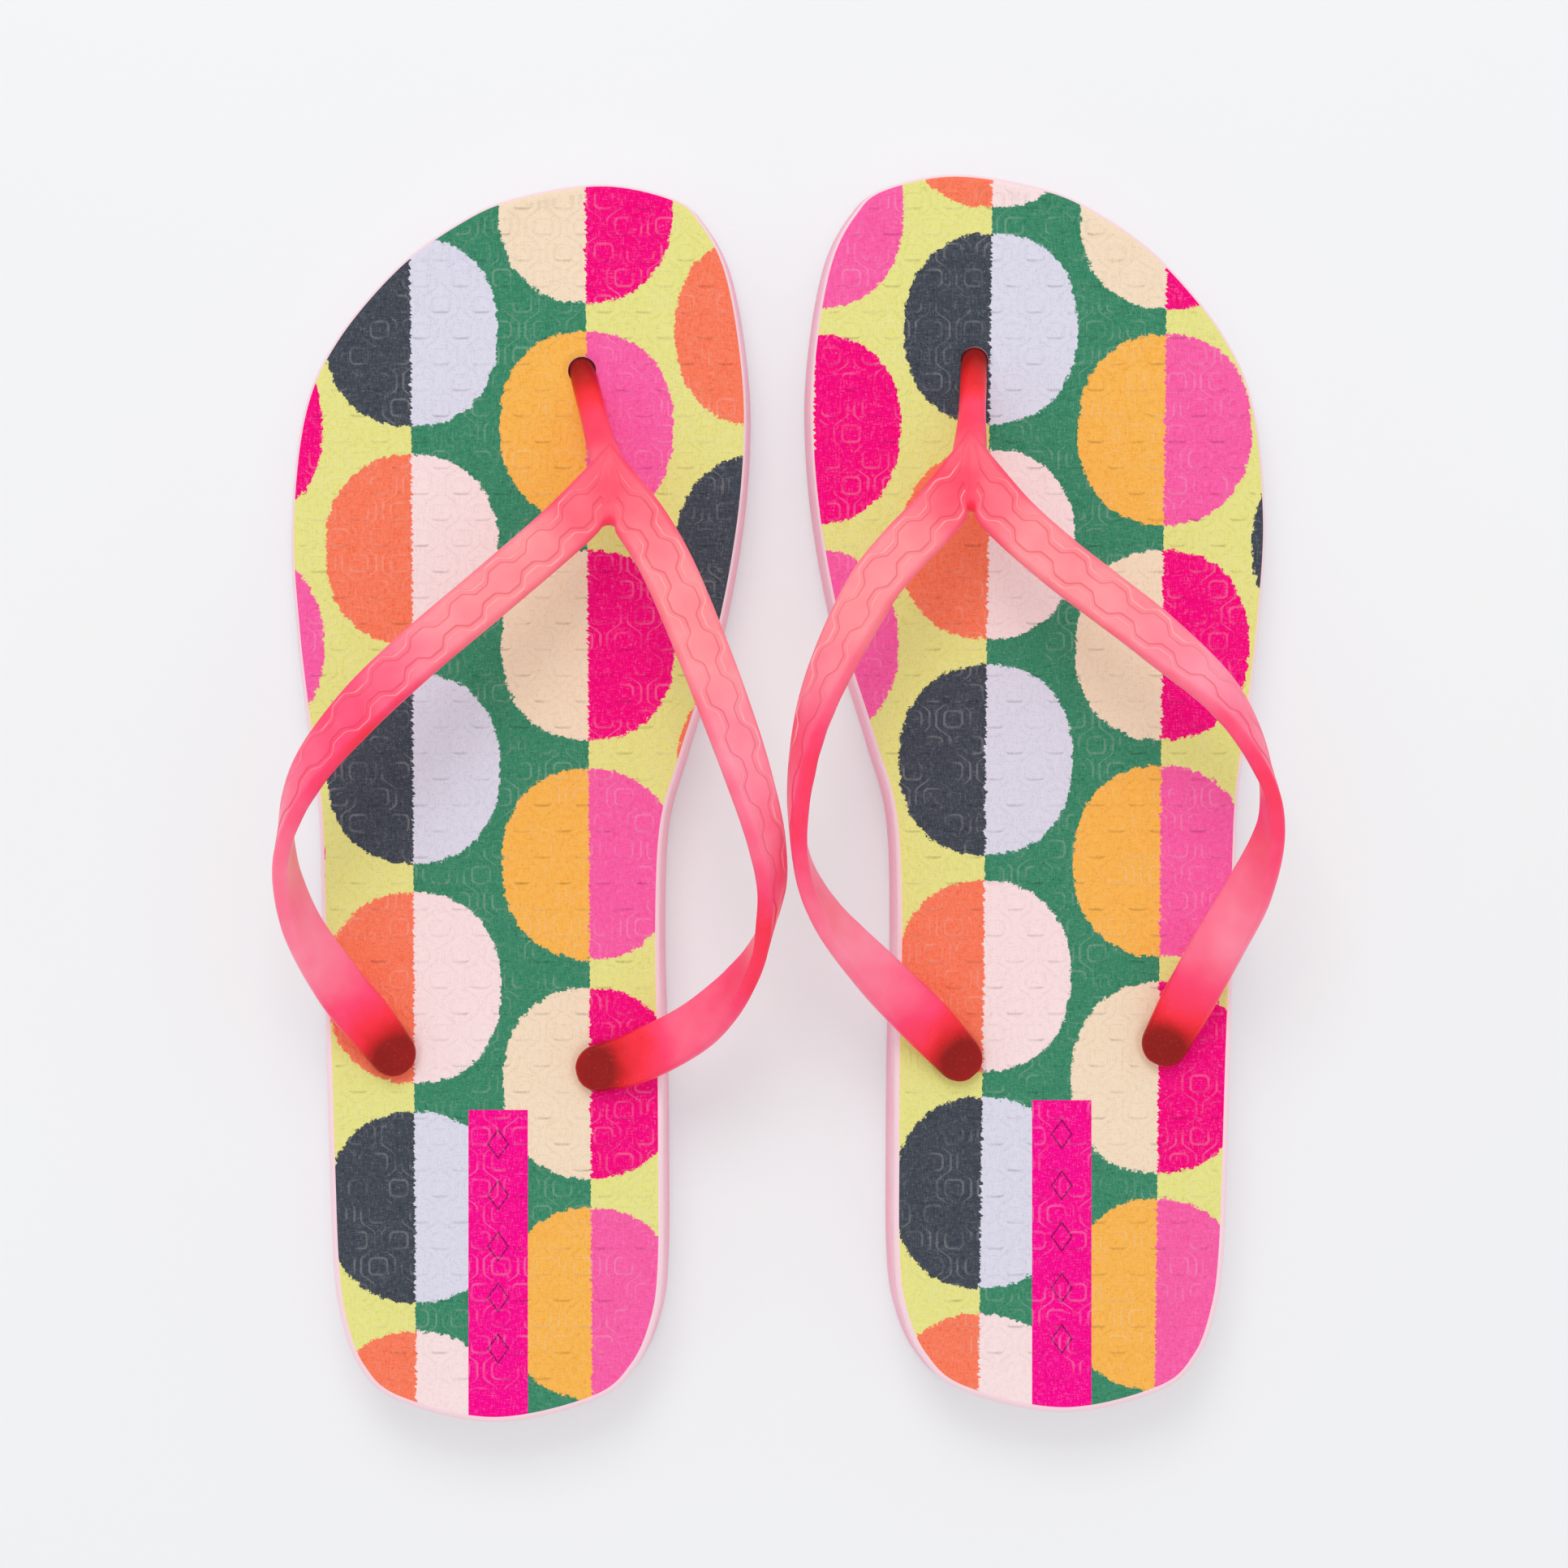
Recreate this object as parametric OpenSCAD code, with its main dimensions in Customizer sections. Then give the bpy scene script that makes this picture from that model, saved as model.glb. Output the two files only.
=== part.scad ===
// A pair of flip-flops: foam sole, printed footbed and a one-piece moulded Y strap on each foot.
// Millimetres. +Z is up, +Y points to the toes, the left sandal is on the -X side.
// The origin lies on the ground, in the middle of the pair's bounding box.

/* [Pair] */
// Distance from the middle plane of the pair to the axis of the left sandal
left_x = 56.7; // [56.7:0.1:80]
// Distance from the middle plane of the pair to the axis of the right sandal
right_x = 57.3; // [57.3:0.1:80]
// How far the right sandal stands ahead of the middle, and the left one behind it
lead = 1; // [0:0.5:5]

/* [Sole] */
// Length of the top of the sandal
sole_length = 255; // [245:1:270]
// Width of the top of the sandal across the ball of the foot
ball_width = 94; // [90:1:100]
// Height of the footbed above the ground at the heel
heel_height = 18; // [16:0.5:24]
// Height of the footbed above the ground under the toes
toe_height = 14; // [13:0.5:16]
// Thickness of the printed footbed sheet
footbed_thickness = 2; // [1.5:0.1:3]
// How far the side wall leans out at the ground
wall_flare = 1; // [0:0.1:2]
// Width and height of the chamfer round the footbed
rim_chamfer = 1.2; // [0.6:0.1:1.4]
// Width and height of the chamfer round the bottom of the sole
ground_chamfer = 1.2; // [0.5:0.1:2]

/* [Plugs] */
// Diameter of the discs that hold the strap under the sole
plug_diameter = 20; // [16:1:22]
// Thickness of those discs
plug_thickness = 3; // [2:0.5:3.5]
// Depth of the recesses that the discs sit in
recess_depth = 4; // [4:0.5:6]
// Diameter of the stem at each side of the heel
side_stem_diameter = 8; // [7:0.2:9]
// Radial clearance of the stems and discs in the sole
fit_clearance = 0.1; // [0.05:0.05:0.3]

/* [Strap] */
// Width of the strap band
band_width = 11; // [9:0.5:11.5]
// Thickness of the strap band
band_thickness = 3.4; // [2.5:0.1:3.5]
// Diameter of the toe post
post_diameter = 5.2; // [4.5:0.1:6]
// Width of the strap at the join of the two arms, along the foot
crotch_width = 15; // [13:0.5:16]

/* [Hidden] */

$fn = 48;
tiny = 0.01;
// How far cuts run past a face, and how far joined solids run into each other
overcut = 1;
overlap = 1;

// Colours
foam_pink = [0.96, 0.70, 0.76];
print_green = [0.30, 0.55, 0.42];
coral = [0.98, 0.38, 0.46];

// The outline, as paired points from the back of the heel to the tip of the toes
outer_side = [
  [-1.5, -127.5], [-21.5, -123], [-29.3, -116], [-33, -106], [-34.5, -95], [-35.3, -75],
  [-36, -52], [-37, -27], [-37.8, -2], [-40, 15], [-42.3, 35], [-43.5, 57], [-41, 80],
  [-34.5, 95], [-22, 110], [-9.5, 119.3], [2, 124.5], [20.5, 127.5]];
inner_side = [
  [-1.5, -127.5], [19.3, -123], [27.7, -116], [32, -106], [33.4, -95], [33.5, -75],
  [33.3, -52], [32.7, -27], [33.5, -5], [37.5, 10], [44.5, 33], [49, 57], [50.5, 78],
  [49.3, 95], [46.3, 110], [41.5, 119.3], [35.5, 124.5], [20.5, 127.5]];
// The sizes that the outline and the strap routes are laid out for
base_length = 255;
base_ball_width = 94;
base_heel_height = 18;
pair_count = len(outer_side);
loop_count = 2 * pair_count - 2;
steps = 3;
ring_count = loop_count * steps;

// Where the top of the sandal falls from heel height to toe height
slope_back = -75;
slope_front = 45;

// Strap holes, in the sandal's own frame
toe_hole = [16.5, 89];
outer_hole = [-22, -51.5];
inner_hole = [20, -54.5];
seat_depth = 1.4;
seat_spread = 1.4;
seat_overcut = 0.6;
recess_margin = 1;
shoulder_rise = 1;
dome_height = 2.6;
post_bend_depth = 3;
post_bend_bulge = 0.1;
post_inset = 1.5;
post_clearance = 0.3;

// Centre line of each strap arm, from the join to the hole: x, y, z and the turn of the band.
// At 0 degrees the patterned face is up, at 90 it faces outwards, at 180 it is underneath.
left_outer_route = [
  [22.6, 65.5, 30, 0], [13.5, 55.5, 34, 4], [-0.5, 43, 38, 8], [-15, 30.5, 41, 14],
  [-28, 18, 42.5, 28], [-38.5, 4.5, 41.5, 56], [-43, -9.5, 37.5, 92], [-40.5, -23.5, 31, 122],
  [-33, -37, 25, 152], [-26.5, -45.5, 21.8, 172], [-22, -51.5, 20.2, 180]];
left_inner_route = [
  [22.6, 65.5, 30, 0], [29, 56.5, 34, 4], [34.7, 46.5, 37, 8], [41.2, 31, 40, 14],
  [46.3, 17.5, 42, 24], [50.8, 4.5, 42.5, 38], [54.4, -8.5, 41, 56], [55.2, -19.5, 37.5, 74],
  [51.5, -32.5, 32, 104], [41.5, -44.5, 25.5, 148], [28.5, -52, 21.5, 174], [20, -54.5, 20.2, 180]];
right_outer_route = [
  [18.4, 66.5, 30, 0], [11.5, 56.5, 34, 4], [1.5, 47, 37, 8], [-8.5, 39, 39.5, 12],
  [-18.5, 31, 41.5, 20], [-32, 18.5, 43, 50], [-39.8, 4.5, 42, 80], [-41.7, -7, 38.5, 102],
  [-38, -19.5, 33, 138], [-32.5, -30.5, 28, 162], [-26.5, -42.5, 22.8, 176], [-22, -51.5, 20.2, 180]];
right_inner_route = [
  [18.4, 66.5, 30, 0], [25.2, 56.5, 34, 5], [32.6, 48.5, 37, 10], [38.9, 40.5, 39, 20],
  [47.3, 24, 42, 46], [51.9, 10, 43, 68], [53.6, -4, 41.5, 84], [52.3, -15.5, 38, 98],
  [47.2, -25.5, 33.5, 120], [37, -37, 27, 150], [27, -47, 22.4, 176], [20, -54.5, 20.2, 180]];
band_steps = 3;
join_length = 12;
join_lean = -0.25;
join_half = [0, -1, -join_lean] * crotch_width / 2;
tip_start = 0.94;

// Shape of the band's section, as fractions of its half width and half thickness
band_section = [
  [1, 0.25], [0.86, 0.85], [0.4, 1], [-0.4, 1], [-0.86, 0.85], [-1, 0.25],
  [-1, -0.4], [-0.86, -0.9], [0, -1], [0.86, -0.9], [1, -0.4]];
section_count = len(band_section);

// ---------- Curves ----------

// A smooth curve through four values, at t between the second and the third
function through(a, b, c, d, t) =
  b + 0.5 * t * ((c - a) + t * ((2 * a - 5 * b + 4 * c - d) + t * (3 * (b - c) + d - a)));

function smooth(t) = let (u = min(max(t, 0), 1)) u * u * (3 - 2 * u);

function unit(v) = v / norm(v);

// Point number i of the closed outline; it runs up the outer side and back down the inner side
function loop_point(i) =
  let (k = (i + 2 * loop_count) % loop_count)
  let (p = k < pair_count ? outer_side[k] : inner_side[loop_count - k])
  [p[0] * ball_width / base_ball_width, p[1] * sole_length / base_length];

function outline_at(n) =
  let (i = floor(n / steps), t = n / steps - i)
  through(loop_point(i - 1), loop_point(i), loop_point(i + 1), loop_point(i + 2), t);

// The outline moved outwards by d
function outline(d) = [
  for (n = [0 : ring_count - 1])
    let (along = outline_at(n + 1) - outline_at(n + ring_count - 1))
    outline_at(n) + d * unit([-along[1], along[0]])];

function top_height(y) =
  heel_height + (toe_height - heel_height) * smooth((y - slope_back) / (slope_front - slope_back));

// ---------- Sole and footbed ----------

// Faces of a stack of outline rings, closed below and above by strips across the foot
function wall_faces(rings) = [
  for (r = [0 : rings - 2], n = [0 : ring_count - 1])
    let (m = (n + 1) % ring_count, a = r * ring_count, b = a + ring_count)
    each [[a + n, b + m, b + n], [a + n, a + m, b + m]]];

function strip_faces(base, up) = [
  for (n = [0 : ring_count / 2 - 1])
    let (a = base + n, b = base + n + 1)
    let (c = base + (ring_count - n) % ring_count, d = base + ring_count - n - 1)
    let (first = n == 0 ? [] : [[a, b, c]], second = n == ring_count / 2 - 1 ? [] : [[b, d, c]])
    let (third = n == 0 ? [[a, b, d]] : second)
    each up ? [for (f = concat(first, third)) [f[2], f[1], f[0]]] : concat(first, third)];

// A solid between outline rings, each given as [outward offset, height above ground, share of top height]
module outline_stack(rings) {
  polyhedron(
    points = [
      for (ring = rings)
        each [for (p = outline(ring[0])) [p[0], p[1], ring[1] + ring[2] * top_height(p[1])]]],
    faces = concat(
      wall_faces(len(rings)),
      strip_faces(0, true),
      strip_faces((len(rings) - 1) * ring_count, false)),
    convexity = 6);
}

module strap_holes() {
  height = heel_height + 2 * overcut;
  side_bore = side_stem_diameter / 2 + fit_clearance;
  post_bore = post_diameter / 2 + post_clearance;
  for (hole = [outer_hole, inner_hole])
    translate([hole[0], hole[1], -overcut])
      cylinder(h = height, r = side_bore);
  translate([toe_hole[0], toe_hole[1], -overcut])
    cylinder(h = height, r = post_bore);
}

module plug_recesses() {
  for (hole = [outer_hole, inner_hole, toe_hole])
    translate([hole[0], hole[1], -overcut])
      cylinder(h = recess_depth + overcut, r = plug_diameter / 2 + recess_margin);
}

// The seat round each side stem, a shallow cone in the footbed
module stem_seats() {
  stem_radius = side_stem_diameter / 2;
  for (hole = [outer_hole, inner_hole])
    translate([hole[0], hole[1], top_height(hole[1]) - seat_depth])
      cylinder(h = seat_depth + seat_overcut, r1 = stem_radius, r2 = stem_radius + seat_spread);
}

// The room that the leaning toe post takes at the mouth of its hole
module post_room(join) {
  rod(post_foot(), join, post_diameter / 2 + post_clearance);
  translate(post_foot())
    sphere(r = post_diameter / 2 + post_clearance + post_bend_bulge);
}

module sole(join) {
  color(foam_pink)
    difference() {
      outline_stack([
        [wall_flare - ground_chamfer, 0, 0],
        [wall_flare, ground_chamfer, 0],
        [0, -footbed_thickness, 1]]);
      strap_holes();
      plug_recesses();
      post_room(join);
    }
}

module footbed(join) {
  color(print_green)
    difference() {
      outline_stack([
        [0, -footbed_thickness, 1],
        [0, -rim_chamfer, 1],
        [-rim_chamfer, 0, 1]]);
      strap_holes();
      stem_seats();
      post_room(join);
    }
}

// ---------- Strap ----------

// A round rod from one point to another
module rod(from, to, r) {
  along = to - from;
  translate(from)
    rotate([0, acos(along[2] / norm(along)), atan2(along[1], along[0])])
      cylinder(h = norm(along), r = r);
}

function route_at(route, n) =
  let (last = len(route) - 1, i = min(floor(n / band_steps), last - 1), t = n / band_steps - i)
  let (before = i == 0 ? 2 * route[0] - route[1] : route[i - 1])
  let (after = i + 2 > last ? 2 * route[last] - route[last - 1] : route[i + 2])
  through(before, route[i], route[i + 1], after, t);

// A point of a route, raised or lowered with the heel
function place(p) = [p[0], p[1], p[2] + heel_height - base_heel_height];

// Centre, half width vector and half thickness vector of an arm at step n; turn is 1 or -1 with the side
function arm_frame(route, n, count, turn) =
  let (here = route_at(route, n))
  let (along = unit(place(route_at(route, min(n + 0.5, count))) - place(route_at(route, max(n - 0.5, 0)))))
  let (level = unit([-along[1], along[0], 0]) * turn)
  let (up = unit(cross(along, level)) * turn)
  let (across = cos(here[3]) * level + sin(here[3]) * up)
  let (face = unit(cross(along, across)) * turn)
  let (travelled = norm(place(here) - place(route[0])))
  let (mix = smooth(travelled / join_length))
  let (end_mix = smooth((n / count - tip_start) / (1 - tip_start)))
  let (half = (1 - end_mix) * band_width / 2 + end_mix * side_stem_diameter / 2)
  [place(here), (1 - mix) * join_half + mix * half * across, face * band_thickness / 2];

function arm_frames(route, turn) =
  let (count = (len(route) - 1) * band_steps)
  [for (n = [1 : count]) arm_frame(route, n, count, turn)];

// Both arms as one band, from the outer hole round the join to the inner hole
module band(outer_route, inner_route) {
  outer_frames = arm_frames(outer_route, 1);
  inner_frames = arm_frames(inner_route, -1);
  join_frame = [place(outer_route[0]), join_half, [0, -join_lean, 1] * band_thickness / 2];
  frames = concat(
    [for (n = [len(outer_frames) - 1 : -1 : 0]) outer_frames[n]],
    [join_frame],
    inner_frames);
  last = len(frames) - 1;
  sides = [
    for (r = [0 : last - 1], k = [0 : section_count - 1])
      let (m = (k + 1) % section_count, a = r * section_count, b = a + section_count)
      each [[a + k, b + m, b + k], [a + k, a + m, b + m]]];
  first_cap = [for (k = [1 : section_count - 2]) [0, k + 1, k]];
  base = last * section_count;
  last_cap = [for (k = [1 : section_count - 2]) [base, base + k, base + k + 1]];
  polyhedron(
    points = [for (f = frames, s = band_section) f[0] + s[0] * f[1] + s[1] * f[2]],
    faces = concat(sides, first_cap, last_cap),
    convexity = 6);
}

// The stem at a side hole, with its disc under the sole and its domed top under the band
module side_stem(hole) {
  stem_radius = side_stem_diameter / 2;
  shoulder = top_height(hole[1]) + shoulder_rise;
  translate([hole[0], hole[1], 0]) {
    translate([0, 0, recess_depth - plug_thickness])
      cylinder(h = plug_thickness - tiny, r = plug_diameter / 2);
    translate([0, 0, recess_depth - overlap])
      cylinder(h = shoulder - recess_depth + overlap, r = stem_radius);
    translate([0, 0, shoulder])
      rotate_extrude()
        polygon(concat([[0, -overlap], [stem_radius, -overlap]],
          [for (a = [0 : 15 : 90]) [stem_radius * cos(a), dome_height * sin(a)]]));
  }
}

function post_foot() = [toe_hole[0], toe_hole[1], top_height(toe_hole[1]) - post_bend_depth];

// The toe post: upright in the sole, then leaning back to the join of the arms
module toe_post(join) {
  post_radius = post_diameter / 2;
  translate([toe_hole[0], toe_hole[1], recess_depth - plug_thickness])
    cylinder(h = plug_thickness - tiny, r = plug_diameter / 2);
  translate([toe_hole[0], toe_hole[1], recess_depth - overlap])
    cylinder(h = post_foot()[2] - recess_depth + overlap, r = post_radius);
  translate(post_foot())
    sphere(r = post_radius + post_bend_bulge);
  rod(post_foot(), join - post_inset * unit(join - post_foot()), post_radius);
}

module strap(outer_route, inner_route) {
  color(coral)
    union() {
      band(outer_route, inner_route);
      side_stem(outer_hole);
      side_stem(inner_hole);
      toe_post(place(outer_route[0]));
    }
}

// ---------- The pair ----------

module left_place() {
  translate([-left_x, -lead, 0])
    children();
}

module right_place() {
  translate([right_x, lead, 0])
    mirror([1, 0, 0])
      children();
}

left_join = place(left_outer_route[0]);
right_join = place(right_outer_route[0]);

module left_sole() { left_place() sole(left_join); }
module left_footbed() { left_place() footbed(left_join); }
module left_strap() { left_place() strap(left_outer_route, left_inner_route); }
module right_sole() { right_place() sole(right_join); }
module right_footbed() { right_place() footbed(right_join); }
module right_strap() { right_place() strap(right_outer_route, right_inner_route); }

left_sole();
left_footbed();
left_strap();
right_sole();
right_footbed();
right_strap();
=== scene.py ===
"""A pair of printed flip-flops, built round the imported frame.

Sizes are in millimetres in the classes below. Only the studio's places and a finish's bump depth and scattering
are in metres, as the finished meshes are. Each sandal has a frame of its own: the axis of the foot is Y, the
outer side of the foot is -X, and a Stance puts that frame on the ground. The print isn't mirrored from one foot
to the other, so it is laid out in the frame of the pair.
"""

from __future__ import annotations

import logging
import math
from dataclasses import dataclass, field
from enum import Enum
from typing import Iterable, Sequence

import bmesh
import bpy
import numpy as np
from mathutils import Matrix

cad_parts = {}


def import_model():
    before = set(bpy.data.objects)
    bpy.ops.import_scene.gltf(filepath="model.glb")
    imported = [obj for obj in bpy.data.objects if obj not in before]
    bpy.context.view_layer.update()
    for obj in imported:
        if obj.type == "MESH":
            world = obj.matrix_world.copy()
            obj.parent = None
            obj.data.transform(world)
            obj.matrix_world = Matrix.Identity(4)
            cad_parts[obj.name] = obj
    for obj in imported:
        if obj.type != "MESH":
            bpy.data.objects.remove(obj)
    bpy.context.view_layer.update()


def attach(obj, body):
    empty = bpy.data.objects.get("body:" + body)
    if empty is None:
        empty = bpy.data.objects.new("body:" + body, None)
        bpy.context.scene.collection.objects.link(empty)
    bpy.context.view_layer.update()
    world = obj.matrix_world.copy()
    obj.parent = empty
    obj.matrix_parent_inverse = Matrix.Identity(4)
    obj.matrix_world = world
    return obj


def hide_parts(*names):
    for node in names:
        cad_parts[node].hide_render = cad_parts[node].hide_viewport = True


LOG = logging.getLogger("flip_flops")
MM = 0.001
Colour = tuple[float, float, float, float]
Socket = bpy.types.NodeSocket


class Foot(Enum):
    """Which foot a sandal is for."""

    LEFT = "left"
    RIGHT = "right"


class Slot(Enum):
    """The record's material slots."""

    FOAM = "pink_foam"
    SHEET = "printed_sheet"
    STRAP = "coral_strap"


class Ink(Enum):
    """The print's inks, the dyes of foam and plastic and the foam's painted shade, as display red, green and
    blue.
    """

    NAVY = (70, 76, 86)
    LAVENDER = (226, 224, 238)
    CREAM = (250, 227, 198)
    MAGENTA = (252, 0, 130)
    ORANGE = (255, 128, 94)
    PALE_PINK = (255, 230, 229)
    MANGO = (255, 188, 84)
    PINK = (255, 98, 170)
    LIME = (237, 233, 142)
    GREEN = (62, 141, 107)
    LABEL = (255, 0, 148)
    LABEL_MARK = (120, 10, 80)
    FOAM = (255, 212, 222)
    FOAM_SHADE = (252, 176, 196)
    RIM = (255, 221, 229)
    FLOOR = (246, 247, 247)

    def linear(self) -> Colour:
        """The ink as linear red, green, blue and alpha."""
        shares = [v / 255 for v in self.value]
        return (*[s / 12.92 if s <= 0.04045 else ((s + 0.055) / 1.055) ** 2.4 for s in shares], 1.0)


# Colours that the finishes are mixed with, as linear red, green, blue and alpha.
BOUNCED: Colour = (0.96, 0.88, 0.93, 1.0)
WHITE: Colour = (1.0, 1.0, 1.0, 1.0)
RIDGE_HIGHLIGHT: Colour = (0.96, 0.93, 0.9, 1.0)
PRINT_SHADOW: Colour = (0.02, 0.01, 0.01, 1.0)
PRINT_DIP: Colour = (0.85, 0.85, 0.85, 1.0)
PORE_SHADE: Colour = (0.45, 0.12, 0.2, 1.0)
STRAP_SPECK: Colour = (1.0, 0.72, 0.74, 1.0)
STRAP_FRONT: Colour = (1.0, 0.96, 0.78, 1.0)
STRAP_LIT_LINE: Colour = (1.0, 0.58, 0.56, 1.0)
STRAP_SHADED_LINE: Colour = (0.62, 0.03, 0.05, 1.0)


# ---------- Curves ----------


def smooth(value: np.ndarray | float) -> np.ndarray:
    """The smooth step from 0 to 1 of a number that runs from 0 to 1."""
    held = np.clip(value, 0.0, 1.0)
    return held * held * (3 - 2 * held)


def ramp(value: np.ndarray | float, low: float, high: float) -> np.ndarray:
    """The smooth step of a value between two limits.

    Args:
        value: The value or values to place between the limits.
        low: Where the step starts from 0.
        high: Where the step reaches 1.

    Returns:
        Numbers from 0 to 1.
    """
    return smooth((np.asarray(value, float) - low) / (high - low))


def through(points: np.ndarray, places: np.ndarray, closed: bool) -> np.ndarray:
    """Points on the smooth curve that passes through the given ones.

    Args:
        points: The points, one a row.
        places: Where on the curve to look, in whole steps from point to point.
        closed: True for a loop.

    Returns:
        One row for each place.
    """
    count = len(points)
    if closed:
        step = np.floor(places).astype(int)
        rows = [points[(step + k) % count] for k in (-1, 0, 1, 2)]
    else:
        ends = np.vstack([2 * points[0] - points[1], points, 2 * points[-1] - points[-2]])
        step = np.clip(np.floor(places).astype(int), 0, count - 2)
        rows = [ends[step + k] for k in (0, 1, 2, 3)]
    t = (places - step)[:, None]
    a, b, c, d = rows
    return b + 0.5 * t * ((c - a) + t * ((2 * a - 5 * b + 4 * c - d) + t * (3 * (b - c) + d - a)))


def unit(vectors: np.ndarray) -> np.ndarray:
    """The rows of an array, each at length 1, or still 0 where it was."""
    return vectors / np.maximum(np.linalg.norm(vectors, axis=-1, keepdims=True), 1e-12)


def noise_field(points: np.ndarray, wave: float, seed: int) -> np.ndarray:
    """A gentle wandering height over points, a sum of eight long waves.

    Args:
        points: Points, one a row.
        wave: The usual distance from crest to crest.
        seed: Chooses the waves' directions.

    Returns:
        Heights of about -1 to 1.
    """
    chance = np.random.default_rng(seed)
    turns = unit(chance.normal(size=(8, points.shape[1]))) * 2 * math.pi / wave
    turns *= chance.uniform(0.7, 1.4, size=(8, 1))
    return np.sin(points @ turns.T + chance.uniform(0, 6.28, 8)).sum(axis=1) / 3


@dataclass(frozen=True)
class LinkPattern:
    """The moulded pattern of both sheet and strap: wavy lines that swell and pinch into rows of links."""

    pitch: float
    period: float
    swing: float
    line: float
    half_x: float = 9.0
    half_y: float = 9.0
    sharpness: float = 1.9

    def wave(self, along: np.ndarray) -> np.ndarray:
        """How far the lines lean at each place along them, from -1 to 1."""
        share = along / self.period
        tri = 1 - 4 * np.abs(share - np.round(share))
        held = np.clip(tri * self.sharpness, -1, 1)
        return held * (1.5 - 0.5 * held * held)

    def lines(self, across: np.ndarray, along: np.ndarray) -> np.ndarray:
        """The height of the wavy lines.

        Args:
            across: Places across the pattern.
            along: Places along the pattern.

        Returns:
            Numbers from 0 between the lines to 1 on them.
        """
        cell = np.floor(across / self.pitch)
        turn = 1 - 2 * np.mod(cell, 2)
        off = np.abs(across - (cell + 0.5) * self.pitch - turn * self.swing * self.wave(along))
        return 1 - ramp(off, self.line * 0.3, self.line)

    def boxes(self, across: np.ndarray, along: np.ndarray) -> np.ndarray:
        """The height of the small round-cornered squares, one in each link.

        Args:
            across: Places across the pattern.
            along: Places along the pattern.

        Returns:
            Numbers from 0 off the squares' lines to 1 on them.
        """
        column = np.round(across / self.pitch)
        shift = np.mod(column, 2) * 0.5
        share = along / self.period + shift
        dx = np.abs(across - column * self.pitch) - self.half_x + 1
        dy = np.abs(share - np.round(share)) * self.period - self.half_y + 1
        off = np.hypot(np.maximum(dx, 0), np.maximum(dy, 0)) + np.minimum(np.maximum(dx, dy), 0) - 1
        return 1 - ramp(np.abs(off), self.line * 0.3, self.line)


SHEET_LINKS = LinkPattern(pitch=4.2, period=10.7, swing=1.42, line=0.36, half_x=1.85, half_y=1.7)
STRAP_LINKS = LinkPattern(pitch=4.2, period=10.2, swing=0.9, line=0.26)
PATTERN_END = (0.72, 0.86)
"""The shares of a strap arm's length between which its moulded lines fade out."""


# ---------- Outline and stance ----------


@dataclass(frozen=True)
class Outline:
    """The outline of the top of a sandal, as paired points from the heel's back to the toes' tip."""

    outer: tuple[tuple[float, float], ...] = (
        (-1.5, -127.5), (-21.5, -123), (-29.3, -116), (-33, -106), (-34.5, -95), (-35.3, -75),
        (-36, -52), (-37, -27), (-37.8, -2), (-40, 15), (-42.3, 35), (-43.5, 57), (-41, 80),
        (-34.5, 95), (-22, 110), (-9.5, 119.3), (2, 124.5), (20.5, 127.5))
    inner: tuple[tuple[float, float], ...] = (
        (-1.5, -127.5), (19.3, -123), (27.7, -116), (32, -106), (33.4, -95), (33.5, -75),
        (33.3, -52), (32.7, -27), (33.5, -5), (37.5, 10), (44.5, 33), (49, 57), (50.5, 78),
        (49.3, 95), (46.3, 110), (41.5, 119.3), (35.5, 124.5), (20.5, 127.5))
    inset: float = 0.1

    @property
    def tip(self) -> int:
        """The step at which the loop passes the toes."""
        return len(self.outer) - 1

    def at(self, turn: np.ndarray, offset: float = 0.0) -> np.ndarray:
        """Points on the loop, which runs up the outer side and back down the inner one.

        Args:
            turn: Places on the loop, in steps from point to point.
            offset: How far outwards of the outline the points lie.

        Returns:
            One x, y row for each place.
        """
        loop = np.array(self.outer + self.inner[-2:0:-1], float)
        place = np.mod(turn, len(loop))
        here = through(loop, place, True)
        ahead = through(loop, np.mod(place + 0.02, len(loop)), True)
        behind = through(loop, np.mod(place - 0.02, len(loop)), True)
        along = unit(ahead - behind)
        return here + (offset - self.inset) * np.stack([-along[:, 1], along[:, 0]], axis=1)

    def even_steps(self, shares: np.ndarray, offset: float) -> np.ndarray:
        """Steps up the sides that are evenly spaced along the edge of the foot.

        Args:
            shares: Shares of the way from heel to toe, from 0 to 1.
            offset: The offset of the outline that is followed.

        Returns:
            The step at each share.
        """
        fine = np.linspace(0, self.tip, 1500)
        run = np.zeros(1500)
        for side in (self.at(fine, offset), self.at(2 * self.tip - fine, offset)):
            run[1:] += np.cumsum(np.linalg.norm(np.diff(side, axis=0), axis=1))
        return np.interp(shares * run[-1], run, fine)


@dataclass(frozen=True)
class Stance:
    """Where a sandal stands and how high its footbed is."""

    foot: Foot
    axis: float
    lead: float
    heel_height: float = 18.0
    toe_height: float = 14.0
    slope_back: float = -75.0
    slope_front: float = 45.0

    @property
    def turn(self) -> int:
        """1 where the sandal's frame lies as the pair's does, and -1 where it is mirrored."""
        return 1 if self.foot is Foot.LEFT else -1

    @property
    def body(self) -> str:
        """The CAD body that the sandal's pieces ride on."""
        return f"{self.foot.value}_sandal"

    def node(self, part: str) -> str:
        """The name of one of this sandal's CAD nodes."""
        return f"{self.foot.value}_{part}"

    def top(self, y: np.ndarray | float) -> np.ndarray:
        """Height of the footbed at places along the foot."""
        fall = ramp(y, self.slope_back, self.slope_front)
        return self.heel_height + (self.toe_height - self.heel_height) * fall

    def world(self, points: np.ndarray) -> np.ndarray:
        """Points of the sandal's own frame in the frame of the pair, in metres."""
        moved = np.array(points, float)
        moved[:, 0] = self.turn * moved[:, 0] + self.axis
        moved[:, 1] += self.lead
        return moved * MM


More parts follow.
